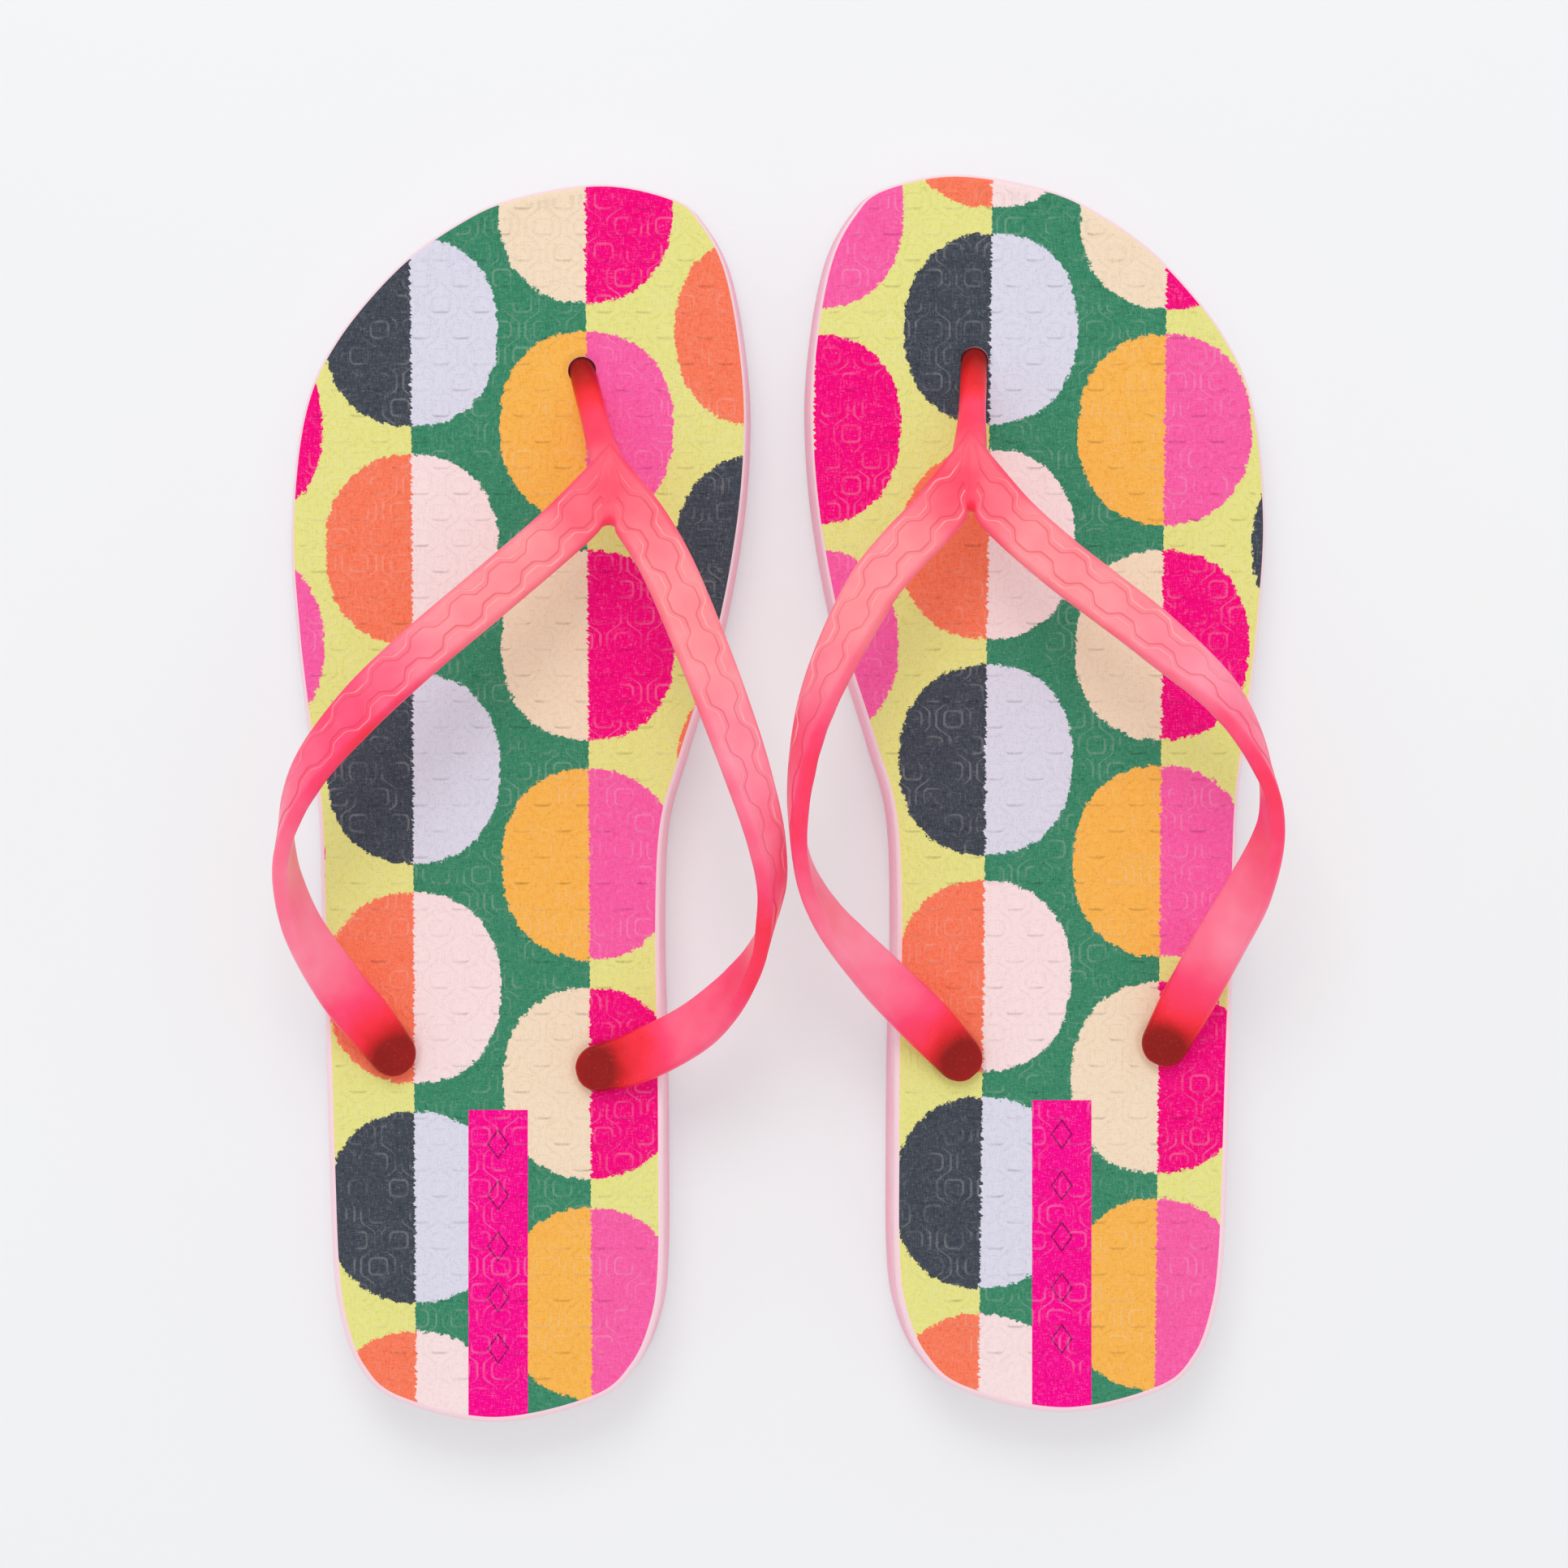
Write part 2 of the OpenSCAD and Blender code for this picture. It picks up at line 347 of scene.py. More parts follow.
# ---------- Mesh work ----------


def places_of(vertices: Iterable[bmesh.types.BMVert]) -> np.ndarray:
    """The places of some vertices, one a row."""
    return np.array([v.co[:] for v in vertices], float).reshape(-1, 3)


def gaps_from(points: np.ndarray, place: tuple[float, float]) -> np.ndarray:
    """How far points are from an upright axis."""
    return np.hypot(*(points[:, :2] - np.array(place)).T)


def put(vertices: Sequence[bmesh.types.BMVert], points: np.ndarray) -> None:
    """Moves vertices to new places, in order."""
    for vertex, point in zip(vertices, points):
        vertex.co = point


def open_edges(work: bmesh.types.BMesh) -> list[bmesh.types.BMEdge]:
    """The edges that have a face on one side only."""
    return [e for e in work.edges if e.is_boundary]


def grow(work: bmesh.types.BMesh, edges: Sequence[bmesh.types.BMEdge]) -> tuple[list, list]:
    """Extrudes a strip of faces from edges.

    Args:
        work: The mesh that is being made.
        edges: The edges to extrude.

    Returns:
        The new vertices and the new outer edges.
    """
    made = bmesh.ops.extrude_edge_only(work, edges=list(edges))["geom"]
    vertices = [g for g in made if isinstance(g, bmesh.types.BMVert)]
    fresh = set(vertices)
    outer = [g for g in made if isinstance(g, bmesh.types.BMEdge) and all(v in fresh for v in g.verts)]
    return vertices, outer


def finish_piece(work: bmesh.types.BMesh, name: str, stance: Stance, coats: Sequence[bpy.types.Material],
                 node: str) -> bpy.types.Object:
    """Turns mesh work into a shown piece that stands for a CAD node.

    Args:
        work: The mesh in the sandal's own frame, in millimetres; it is used up.
        name: The piece's name after the foot's.
        stance: Where the sandal stands.
        coats: The materials, by the faces' material index.
        node: The part of the CAD model that the piece stands for.

    Returns:
        The new object.
    """
    work.verts.ensure_lookup_table()
    put(work.verts, stance.world(places_of(work.verts)))
    work.normal_update()
    bmesh.ops.recalc_face_normals(work, faces=work.faces[:])
    if work.calc_volume(signed=True) < 0:
        bmesh.ops.reverse_faces(work, faces=work.faces[:])
    for face in work.faces:
        face.smooth = True
    mesh = bpy.data.meshes.new(stance.node(name))
    gaps = len(open_edges(work))
    work.to_mesh(mesh)
    work.free()
    mesh.set_sharp_from_angle(angle=math.radians(50))
    for coat in coats:
        mesh.materials.append(coat)
    piece = bpy.data.objects.new(stance.node(name), mesh)
    bpy.context.scene.collection.objects.link(piece)
    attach(piece, stance.body)
    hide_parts(stance.node(node))
    triangles = sum(len(p.vertices) - 2 for p in mesh.polygons)
    LOG.info("%s: %d triangles, %d open edges", piece.name, triangles, gaps)
    return piece


def foot_grid(outline: Outline, rows: int, columns: int, offset: float) -> bmesh.types.BMesh:
    """A level grid of faces that fills the outline.

    Args:
        outline: The outline to fill.
        rows: Faces from heel to toe.
        columns: Faces across the foot.
        offset: How far outwards of the outline the grid's edge lies.

    Returns:
        The mesh work, with each edge vertex's place on the loop in the layer "turn".
    """
    work = bmesh.new()
    turn = work.verts.layers.float.new("turn")
    bmesh.ops.create_grid(work, x_segments=columns, y_segments=rows, size=1)
    flat = (places_of(work.verts) + 1) / 2
    step = outline.even_steps(flat[:, 1], offset)
    outer = outline.at(step, offset)
    inner = outline.at(2 * outline.tip - step, offset)
    share = flat[:, :1]
    put(work.verts[:], np.hstack([outer * (1 - share) + inner * share, np.zeros((len(flat), 1))]))
    for vertex, across, place in zip(work.verts, flat[:, 0], step):
        vertex[turn] = place if across < 0.5 else 2 * outline.tip - place
    bmesh.ops.remove_doubles(work, verts=work.verts[:], dist=0.001)
    return work


def open_hole(work: bmesh.types.BMesh, centre: tuple[float, float], radius: float) -> list[bmesh.types.BMEdge]:
    """Cuts a round hole through a sheet of faces.

    Args:
        work: The mesh that is being made.
        centre: The middle of the hole.
        radius: The radius of the hole.

    Returns:
        The edges round the hole.
    """
    middle = np.array(centre)
    inside = {v for v, gap in zip(work.verts, gaps_from(places_of(work.verts), centre)) if gap < radius}
    lost = {f for v in inside for f in v.link_faces}
    bmesh.ops.delete(work, geom=list(lost), context="FACES")
    edge = [e for e in open_edges(work)
            if all(math.hypot(v.co.x - centre[0], v.co.y - centre[1]) < radius + 1.7 for v in e.verts)]
    for vertex in {v for e in edge for v in e.verts}:
        away = np.array(vertex.co[:2]) - middle
        vertex.co.x, vertex.co.y = middle + away * radius / np.linalg.norm(away)
    return edge


def ring_loop(work: bmesh.types.BMesh, edges: Sequence[bmesh.types.BMEdge], outline: Outline, offset: float,
              height: Sequence[float] | None, stance: Stance, below: float = 0.0) -> list[bmesh.types.BMEdge]:
    """Extrudes the outer edge of a foot-shaped sheet to another offset and height.

    Args:
        work: The mesh that is being made.
        edges: The edges that bound the sheet.
        outline: The outline that the ring follows.
        offset: How far outwards of the outline the new ring lies.
        height: The height of the ring above the ground, or None to follow the footbed.
        stance: Where the footbed's height comes from.
        below: How far below the footbed's top the ring lies, where height is None.

    Returns:
        The edges of the new ring.
    """
    turn = work.verts.layers.float["turn"]
    fresh, outer = grow(work, edges)
    flat = outline.at(np.array([v[turn] for v in fresh]), offset)
    level = stance.top(flat[:, 1]) - below if height is None else np.full(len(flat), height)
    put(fresh, np.column_stack([flat, level]))
    return outer


def close_sheet(work: bmesh.types.BMesh, down: bool, index: int) -> None:
    """Fills the space between all open loops with triangles.

    Args:
        work: The mesh that is being made.
        down: True for triangles that face down.
        index: The triangles' material index.
    """
    before = set(work.faces)
    bmesh.ops.triangle_fill(work, use_beauty=True, use_dissolve=False, edges=open_edges(work),
                            normal=(0, 0, -1 if down else 1))
    for face in set(work.faces) - before:
        face.material_index = index


def swept(centres: np.ndarray, sides: np.ndarray, ups: np.ndarray, section: np.ndarray,
          lift: np.ndarray) -> bmesh.types.BMesh:
    """A closed skin swept along a line.

    Args:
        centres: The middle of each ring.
        sides: Each ring's half width, as a vector.
        ups: Each ring's half thickness, as a vector.
        section: Points round a ring, as shares of half width and half thickness.
        lift: How far each point is moved along the ring's up direction, rings by points.

    Returns:
        The mesh work. Layers "ring" and "spot" hold each vertex's ring and its place in the section.
    """
    rings, spots = len(centres), len(section)
    work = bmesh.new()
    ring_layer, spot_layer = work.verts.layers.float.new("ring"), work.verts.layers.float.new("spot")
    bmesh.ops.create_grid(work, x_segments=spots, y_segments=rings - 1, size=1)
    flat = (places_of(work.verts) + 1) / 2
    ring = np.rint(flat[:, 1] * (rings - 1)).astype(int)
    spot = np.rint(flat[:, 0] * spots).astype(int) % spots
    points = (centres[ring] + sides[ring] * section[spot, :1] + ups[ring] * section[spot, 1:2]
              + unit(ups)[ring] * lift[ring, spot][:, None])
    put(work.verts[:], points)
    for vertex, r, s in zip(work.verts, ring, spot):
        vertex[ring_layer], vertex[spot_layer] = float(r), float(s)
    bmesh.ops.remove_doubles(work, verts=work.verts[:], dist=0.0005)
    return work


def lathed(profile: Sequence[tuple[float, float]], centre: tuple[float, float],
           steps: int) -> bmesh.types.BMesh:
    """A round solid turned about an upright axis.

    Args:
        profile: Radius and height pairs, from the axis at one end to the axis at the other.
        centre: The place of the axis.
        steps: Faces round the solid.

    Returns:
        The mesh work.
    """
    work = bmesh.new()
    line = [work.verts.new((centre[0] + r, centre[1], z)) for r, z in profile]
    edges = [work.edges.new(pair) for pair in zip(line, line[1:])]
    bmesh.ops.spin(work, geom=line + edges, cent=(*centre, 0), axis=(0, 0, 1), dvec=(0, 0, 0),
                   angle=2 * math.pi, steps=steps, use_merge=True, use_duplicate=False)
    bmesh.ops.remove_doubles(work, verts=work.verts[:], dist=0.001)
    return work


# ---------- Shader nodes ----------


class Graph:
    """Lays nodes into one node tree. A socket given as a value is linked, and a number is set on the socket."""

    def __init__(self, tree: bpy.types.NodeTree) -> None:
        """Starts with the tree that the nodes go in."""
        self.tree = tree

    def node(self, kind: str, **settings: object) -> bpy.types.Node:
        """Adds a node of a kind and gives it its settings."""
        made = self.tree.nodes.new(kind)
        for name, value in settings.items():
            setattr(made, name, value)
        return made

    def feed(self, socket: Socket, value: object) -> None:
        """Links a socket to another, or sets its value."""
        if isinstance(value, bpy.types.NodeSocket):
            self.tree.links.new(value, socket)
        else:
            socket.default_value = value

    def math(self, operation: str, *values: object, clamp: bool = False) -> Socket:
        """One sum on numbers.

        Args:
            operation: The Math node's operation.
            *values: Numbers or sockets, in order.
            clamp: True to hold the result between 0 and 1.

        Returns:
            The result's socket.
        """
        made = self.node("ShaderNodeMath", operation=operation, use_clamp=clamp)
        for socket, value in zip(made.inputs, values):
            self.feed(socket, value)
        return made.outputs[0]

    def add(self, first: object, second: object, clamp: bool = False) -> Socket:
        """Two numbers added."""
        return self.math("ADD", first, second, clamp=clamp)

    def less(self, first: object, second: object) -> Socket:
        """The first number less the second."""
        return self.math("SUBTRACT", first, second)

    def times(self, first: object, second: object) -> Socket:
        """Two numbers multiplied."""
        return self.math("MULTIPLY", first, second)

    def times_plus(self, first: object, second: object, third: object, clamp: bool = False) -> Socket:
        """The first two numbers multiplied, and the third added."""
        return self.math("MULTIPLY_ADD", first, second, third, clamp=clamp)

    def absolute(self, value: object) -> Socket:
        """A number without its sign."""
        return self.math("ABSOLUTE", value)

    def split(self, vector: Socket) -> tuple[Socket, Socket, Socket]:
        """The three numbers of a vector."""
        made = self.node("ShaderNodeSeparateXYZ")
        self.feed(made.inputs[0], vector)
        return made.outputs[0], made.outputs[1], made.outputs[2]

    def join(self, x: object, y: object, z: object = 0.0) -> Socket:
        """A vector of three numbers."""
        made = self.node("ShaderNodeCombineXYZ")
        for socket, value in zip(made.inputs, (x, y, z)):
            self.feed(socket, value)
        return made.outputs[0]

    def scale(self, vector: Socket, size: float) -> Socket:
        """A vector times a number."""
        made = self.node("ShaderNodeVectorMath", operation="SCALE")
        self.feed(made.inputs[0], vector)
        self.feed(made.inputs["Scale"], size)
        return made.outputs[0]

    def step(self, value: object, low: object, high: object, start: float = 0.0, end: float = 1.0) -> Socket:
        """A smooth step between two limits.

        Args:
            value: The number to place.
            low: The lower limit.
            high: The upper limit.
            start: The result at the lower limit.
            end: The result at the upper limit.

        Returns:
            The result's socket.
        """
        made = self.node("ShaderNodeMapRange", interpolation_type="SMOOTHSTEP")
        for socket, given in zip(made.inputs, (value, low, high, start, end)):
            self.feed(socket, given)
        return made.outputs[0]

    def blend(self, share: object, first: object, second: object, way: str = "MIX") -> Socket:
        """A mix of two colours.

        Args:
            share: How much of the second colour there is.
            first: The first colour.
            second: The second colour.
            way: How the colours mix.

        Returns:
            The colour's socket.
        """
        made = self.node("ShaderNodeMix", data_type="RGBA", blend_type=way)
        self.feed(made.inputs[0], share)
        self.feed(made.inputs[6], first)
        self.feed(made.inputs[7], second)
        return made.outputs[2]

    def noise(self, vector: Socket, scale: float, detail: float = 2.0, rough: float = 0.5) -> Socket:
        """A cloud of noise.

        Args:
            vector: Where the noise is read.
            scale: Waves per unit of the vector.
            detail: How many finer octaves there are.
            rough: How strong the finer octaves are.

        Returns:
            The noise, from 0 to 1.
        """
        made = self.node("ShaderNodeTexNoise")
        for name, value in (("Vector", vector), ("Scale", scale), ("Detail", detail), ("Roughness", rough)):
            self.feed(made.inputs[name], value)
        return made.outputs["Fac"]

    def spot(self) -> Socket:
        """The place on the object, in millimetres."""
        return self.scale(self.node("ShaderNodeTexCoord").outputs["Object"], 1 / MM)

    def attribute(self, name: str) -> Socket:
        """A number that the mesh carries."""
        return self.node("ShaderNodeAttribute", attribute_name=name).outputs["Fac"]

    def group(self, tree: bpy.types.NodeTree, **values: object) -> bpy.types.Node:
        """Places a shader node group, with its inputs named with underscores for spaces."""
        made = self.node("ShaderNodeGroup", node_tree=tree)
        for name, value in values.items():
            self.feed(made.inputs[name.replace("_", " ")], value)
        return made


class ShaderGroup(Graph):
    """A shader node group with named inputs and outputs."""

    def __init__(self, name: str, inputs: dict[str, str], outputs: dict[str, str]) -> None:
        """Makes the empty group.

        Args:
            name: The group's name.
            inputs: Each input's name and socket type, such as Float.
            outputs: Each output's name and socket type.
        """
        super().__init__(bpy.data.node_groups.new(name, "ShaderNodeTree"))
        for way, sockets in (("INPUT", inputs), ("OUTPUT", outputs)):
            for label, kind in sockets.items():
                self.tree.interface.new_socket(label, in_out=way, socket_type=f"NodeSocket{kind}")
        self.given = self.node("NodeGroupInput").outputs
        self.result = self.node("NodeGroupOutput").inputs


class Effects:
    """The shader node groups that the finishes share."""

    def __init__(self) -> None:
        """Builds each group once."""
        self.grain = self.make_grain()
        self.links = self.make_links()
        self.discs = self.make_discs()

    @staticmethod
    def make_grain() -> bpy.types.NodeTree:
        """A fine speckle with threads along and across, as a value and as a height."""
        g = ShaderGroup("fine_grain", {"Vector": "Vector", "Size": "Float", "Threads": "Float"},
                        {"Value": "Float", "Height": "Float"})
        near = g.node("ShaderNodeVectorMath", operation="DIVIDE")
        g.feed(near.inputs[0], g.given["Vector"])
        g.feed(near.inputs[1], g.join(*[g.given["Size"]] * 3))
        x, y, z = g.split(near.outputs[0])
        speckle = g.noise(near.outputs[0], 1.0, 3.0, 0.65)
        long, fine = 0.22, 1.25
        weft, warp = (
            g.noise(g.join(g.times(x, wide), g.times(y, high), z), 1.0, 1.0)
            for wide, high in ((long, fine), (fine, long)))
        threads = g.add(g.less(weft, 0.5), g.less(warp, 0.5))
        value = g.add(speckle, g.times(threads, g.given["Threads"]))
        g.feed(g.result["Value"], value)
        g.feed(g.result["Height"], g.times_plus(speckle, 0.5, g.times(value, 0.5)))
        return g.tree

    @staticmethod
    def make_links() -> bpy.types.NodeTree:
        """The wavy lines and the small squares of the moulded pattern, as two masks."""
        g = ShaderGroup(
            "moulded_links",
            {"Across": "Float", "Along": "Float", "Pitch": "Float", "Period": "Float", "Swing": "Float",
             "Line": "Float", "Half X": "Float", "Half Y": "Float"},
            {"Lines": "Float", "Boxes": "Float", "Lower": "Float"})
        across, along, pitch = (g.given[n] for n in ("Across", "Along", "Pitch"))
        sharp = LinkPattern.sharpness
        share = g.math("DIVIDE", along, g.given["Period"])
        gap = g.absolute(g.less(share, g.math("ROUND", share)))
        tri = g.times_plus(gap, -4.0 * sharp, sharp)
        held = g.math("MINIMUM", g.math("MAXIMUM", tri, -1.0), 1.0)
        bent = g.times_plus(g.times(held, held), -0.5, 1.5)
        wave = g.times(g.times(held, bent), g.given["Swing"])
        cell = g.math("FLOOR", g.math("DIVIDE", across, pitch))
        turn = g.times_plus(g.math("PINGPONG", cell, 1.0), -2.0, 1.0)
        centre = g.times(g.add(cell, 0.5), pitch)
        off = g.absolute(g.less(g.less(across, centre), g.times(turn, wave)))
        fine = g.times(g.given["Line"], 0.3)
        g.feed(g.result["Lines"], g.step(off, fine, g.given["Line"], 1.0, 0.0))
        column = g.math("ROUND", g.math("DIVIDE", across, pitch))
        moved = g.times_plus(g.math("PINGPONG", column, 1.0), 0.5, share)
        local = g.times(g.less(moved, g.math("ROUND", moved)), g.given["Period"])
        dx = g.less(g.absolute(g.less(across, g.times(column, pitch))), g.less(g.given["Half X"], 1.0))
        dy = g.less(g.absolute(local), g.less(g.given["Half Y"], 1.0))
        px, py = g.math("MAXIMUM", dx, 0.0), g.math("MAXIMUM", dy, 0.0)
        far = g.math("SQRT", g.add(g.times(px, px), g.times(py, py)))
        rim = g.less(g.add(far, g.math("MINIMUM", g.math("MAXIMUM", dx, dy), 0.0)), 1.0)
        box = g.step(g.absolute(rim), fine, g.given["Line"], 1.0, 0.0)
        g.feed(g.result["Boxes"], box)
        low = g.times(g.step(dy, 0.55, 0.95), g.math("LESS_THAN", local, 0.0))
        g.feed(g.result["Lower"], g.times(box, low))
        return g.tree

    def place_links(self, g: Graph, pattern: LinkPattern, pitch: float, across: Socket,
                    along: Socket) -> bpy.types.Node:
        """Places the moulded pattern in a material.

        Args:
            g: The material's graph.
            pattern: The pattern's sizes.
            pitch: The distance from line to line.
            across: Place across the pattern.
            along: Place along the pattern.

        Returns:
            The group's node.
        """
        return g.group(self.links, Across=across, Along=along, Pitch=pitch, Period=pattern.period,
                       Swing=pattern.swing, Line=pattern.line, Half_X=pattern.half_x, Half_Y=pattern.half_y)

    @staticmethod
    def make_discs() -> bpy.types.NodeTree:
        """The print: staggered two-coloured discs with ragged edges on bands of green and lime."""
        g = ShaderGroup(
            "disc_print",
            {"Vector": "Vector", "Origin X": "Float", "Even Y": "Float", "Odd Y": "Float", "Lean": "Float",
             "Row": "Float"},
            {"Color": "Color"})
        column_pitch, half_wide, half_high = 36.15, 17.9, 19.6
        edge_scale, tooth_depth, hair_depth, blur = 18.5, 3.4, 2.9, 0.06
        x, y, _ = g.split(g.given["Vector"])
        spread = g.less(g.less(x, g.given["Origin X"]), g.times(y, g.given["Lean"]))
        teeth = g.less(g.noise(g.given["Vector"], 0.62, 4.0, 0.82), 0.5)
        tilted = g.times_plus(x, 0.25, y)
        hairs = g.less(g.noise(g.join(g.times(x, 0.3), tilted), 1.2, 3.0, 0.7), 0.5)
        frayed = g.times_plus(hairs, 1.2, spread)
        k = g.math("ROUND", g.math("DIVIDE", spread, column_pitch))
        dx = g.less(spread, g.times(k, column_pitch))
        odd = g.math("PINGPONG", k, 1.0)
        start = g.add(g.times(odd, g.given["Odd Y"]), g.times(g.less(1.0, odd), g.given["Even Y"]))
        rise = g.less(y, start)
        row = g.math("ROUND", g.math("DIVIDE", rise, g.given["Row"]))
        dy = g.less(rise, g.times(row, g.given["Row"]))
        pair = g.add(row, g.math("FLOOR", g.times(k, 0.5)))
        second = g.math("PINGPONG", pair, 1.0)
        bulge = 2.25
        wide = g.math("POWER", g.absolute(g.math("DIVIDE", dx, half_wide)), bulge)
        high = g.math("POWER", g.absolute(g.math("DIVIDE", dy, half_high)), bulge)
        reach = g.math("POWER", g.add(wide, high), 1 / bulge)
        ragged = g.times(teeth, tooth_depth)
        edge = g.times_plus(g.less(reach, 1.0), edge_scale, ragged)
        disc = g.step(edge, -blur, blur, 1.0, 0.0)
        right = g.step(g.times_plus(hairs, hair_depth, dx), -0.05, 0.05)
        dark_half = g.blend(odd, g.blend(second, Ink.NAVY.linear(), Ink.ORANGE.linear()),
                            g.blend(second, Ink.CREAM.linear(), Ink.MANGO.linear()))
        light_half = g.blend(odd, g.blend(second, Ink.LAVENDER.linear(), Ink.PALE_PINK.linear()),
                             g.blend(second, Ink.MAGENTA.linear(), Ink.PINK.linear()))
        halves = g.blend(right, dark_half, light_half)
        band = g.math("FLOOR", g.math("DIVIDE", g.times_plus(teeth, 0.5, frayed), column_pitch))
        ground = g.blend(g.math("PINGPONG", band, 1.0), Ink.GREEN.linear(), Ink.LIME.linear())
        g.feed(g.result["Color"], g.blend(disc, ground, halves))
        return g.tree


@dataclass(frozen=True)
class Finish:
    """What every finish has: a name, the gloss of its surface and how light scatters under it."""

    name: str
    roughness: float
    specular: float = 0.4
    scatter: float = 0.0
    scatter_reach: tuple[float, float, float] = (0.0, 0.0, 0.0)

    def start(self) -> tuple[bpy.types.Material, Graph, bpy.types.Node]:
        """A new material with a Principled BSDF, its graph and the BSDF itself."""
        material = bpy.data.materials.new(self.name)
        material.use_nodes = True
        material.node_tree.nodes.clear()
        graph = Graph(material.node_tree)
        shader = graph.node("ShaderNodeBsdfPrincipled")
        out = graph.node("ShaderNodeOutputMaterial")
        graph.feed(out.inputs["Surface"], shader.outputs[0])
        shader.inputs["Roughness"].default_value = self.roughness
        shader.inputs["Specular IOR Level"].default_value = self.specular
        return material, graph, shader

    def scatter_light(self, shader: bpy.types.Node) -> None:
        """Sets how far light wanders under the surface, in metres for red, green and blue."""
        shader.inputs["Subsurface Weight"].default_value = self.scatter
        shader.inputs["Subsurface Radius"].default_value = self.scatter_reach
        shader.inputs["Subsurface Scale"].default_value = 1.0

    @staticmethod
    def calm(graph: Graph, colour: Socket, share: float) -> Socket:
        """Greys a colour for the light that bounces on from it to the floor.

        Args:
            graph: The material's graph.
            colour: The colour that is seen directly.
            share: How far the bounced colour goes to grey.

        Returns:
            The colour's socket.
        """
        bounced = graph.node("ShaderNodeLightPath").outputs["Is Diffuse Ray"]
        return graph.blend(graph.times(bounced, share), colour, BOUNCED)

    @staticmethod
    def bump(graph: Graph, shader: bpy.types.Node, height: Socket, deep: float) -> None:
        """Feeds a height to the shader's normal.

        Args:
            graph: The material's graph.
            shader: The Principled BSDF.
            height: The height's socket, from 0 to 1.
            deep: The depth in metres that a height of 1 stands for.
        """
        made = graph.node("ShaderNodeBump")
        made.inputs["Distance"].default_value = deep
        graph.feed(made.inputs["Height"], height)
        graph.feed(shader.inputs["Normal"], made.outputs[0])


@dataclass(frozen=True)
class PrintedSheet(Finish):
    """The printed, embossed sheet of a footbed."""

    axis: float = 0.0
    origin_x: float = 0.0
    even_y: float = 0.0
    odd_y: float = 0.0
    lean: float = 0.0
    row: float = 45.0
    label_middle: float = 0.0
    label_half: float = 6.1
    label_top: float = -63.0
    label_blur: float = 0.05
    marks: int = 5
    mark_start: float = 7.0
    mark_pitch: float = 10.5
    mark_half_x: float = 2.1
    mark_half_y: float = 2.9
    bump_depth: float = 0.00011

    def make(self, effects: Effects) -> bpy.types.Material:
        """Builds the material.

        Args:
            effects: The shared shader groups.

        Returns:
            The material.
        """
        material, g, shader = self.start()
        spot = g.spot()
        x, y, _ = g.split(spot)
        grain = g.group(effects.grain, Vector=spot, Size=0.26, Threads=1.0)
        value = grain.outputs["Value"]
        discs = g.group(effects.discs, Vector=spot, Origin_X=self.origin_x, Even_Y=self.even_y,
                        Odd_Y=self.odd_y, Lean=self.lean, Row=self.row)
        links = effects.place_links(g, SHEET_LINKS, SHEET_LINKS.pitch, g.less(x, self.axis), y)
        colour = self.label(g, x, y, discs.outputs["Color"])
        relief = g.attribute("emboss")
        crest = g.times(g.math("MAXIMUM", links.outputs["Lines"], links.outputs["Boxes"]), relief)
        lower = g.times(links.outputs["Lower"], relief)
        patchy = g.noise(spot, 0.16, 2.0)
        # Painted highlight: the print on the raised links is made paler in patches, as if lit.
        ridge_highlight = g.times(crest, g.step(patchy, 0.44, 0.64, 0.0, 0.11))
        pale = g.blend(ridge_highlight, colour, RIDGE_HIGHLIGHT)
        shadow = g.times(lower, g.step(patchy, 0.3, 0.6, 0.4, 0.1))
        shaded = g.blend(shadow, pale, g.blend(0.75, colour, PRINT_SHADOW))
        fleck = g.times(g.step(value, 0.55, 0.95), 0.34)
        flecked = g.blend(fleck, shaded, g.blend(0.28, colour, WHITE))
        dip = g.times(g.step(value, 0.47, 0.12), 0.42)
        squared = g.blend(1.0, flecked, flecked, "MULTIPLY")
        toned = g.blend(dip, flecked, g.blend(1.0, squared, PRINT_DIP, "MULTIPLY"))
        margin = g.step(y, -75.0, 70.0, 1.15, 0.5)
        bare = g.step(g.less(g.attribute("edge"), margin), -0.06, 0.06, 1.0, 0.0)
        rimmed = g.blend(bare, toned, Ink.RIM.linear())
        g.feed(shader.inputs["Base Color"], rimmed)
        g.feed(shader.inputs["Roughness"], g.times_plus(value, 0.25, self.roughness - 0.12))
        height = g.times_plus(crest, 0.55, g.times(grain.outputs["Height"], 0.8))
        self.bump(g, shader, height, self.bump_depth)
        return material

    def label(self, g: Graph, x: Socket, y: Socket, under: Socket) -> Socket:
        """Prints the heel label, with a row of plain diamonds, over another colour.

        Args:
            g: The material's graph.
            x: Place across the pair.
            y: Place along the pair.
            under: The colour under the label.

        Returns:
            The colour's socket.
        """
        dx = g.absolute(g.less(x, self.label_middle))
        inside, below = (
            g.step(place, limit - self.label_blur, limit + self.label_blur, 1.0, 0.0)
            for place, limit in ((dx, self.label_half), (y, self.label_top)))
        run = g.math("DIVIDE", g.less(self.label_top - self.mark_start, y), self.mark_pitch)
        number = g.math("ROUND", run)
        dy = g.times(g.absolute(g.less(run, number)), self.mark_pitch)
        reach = g.add(g.math("DIVIDE", dx, self.mark_half_x), g.math("DIVIDE", dy, self.mark_half_y))
        line = g.step(g.absolute(g.less(reach, 1.0)), 0.05, 0.13, 1.0, 0.0)
        used = g.times(g.math("GREATER_THAN", number, -0.5), g.math("LESS_THAN", number, self.marks - 0.5))
        marked = g.blend(g.times(g.times(line, used), 0.85), Ink.LABEL.linear(), Ink.LABEL_MARK.linear())
        return g.blend(g.times(inside, below), under, marked)


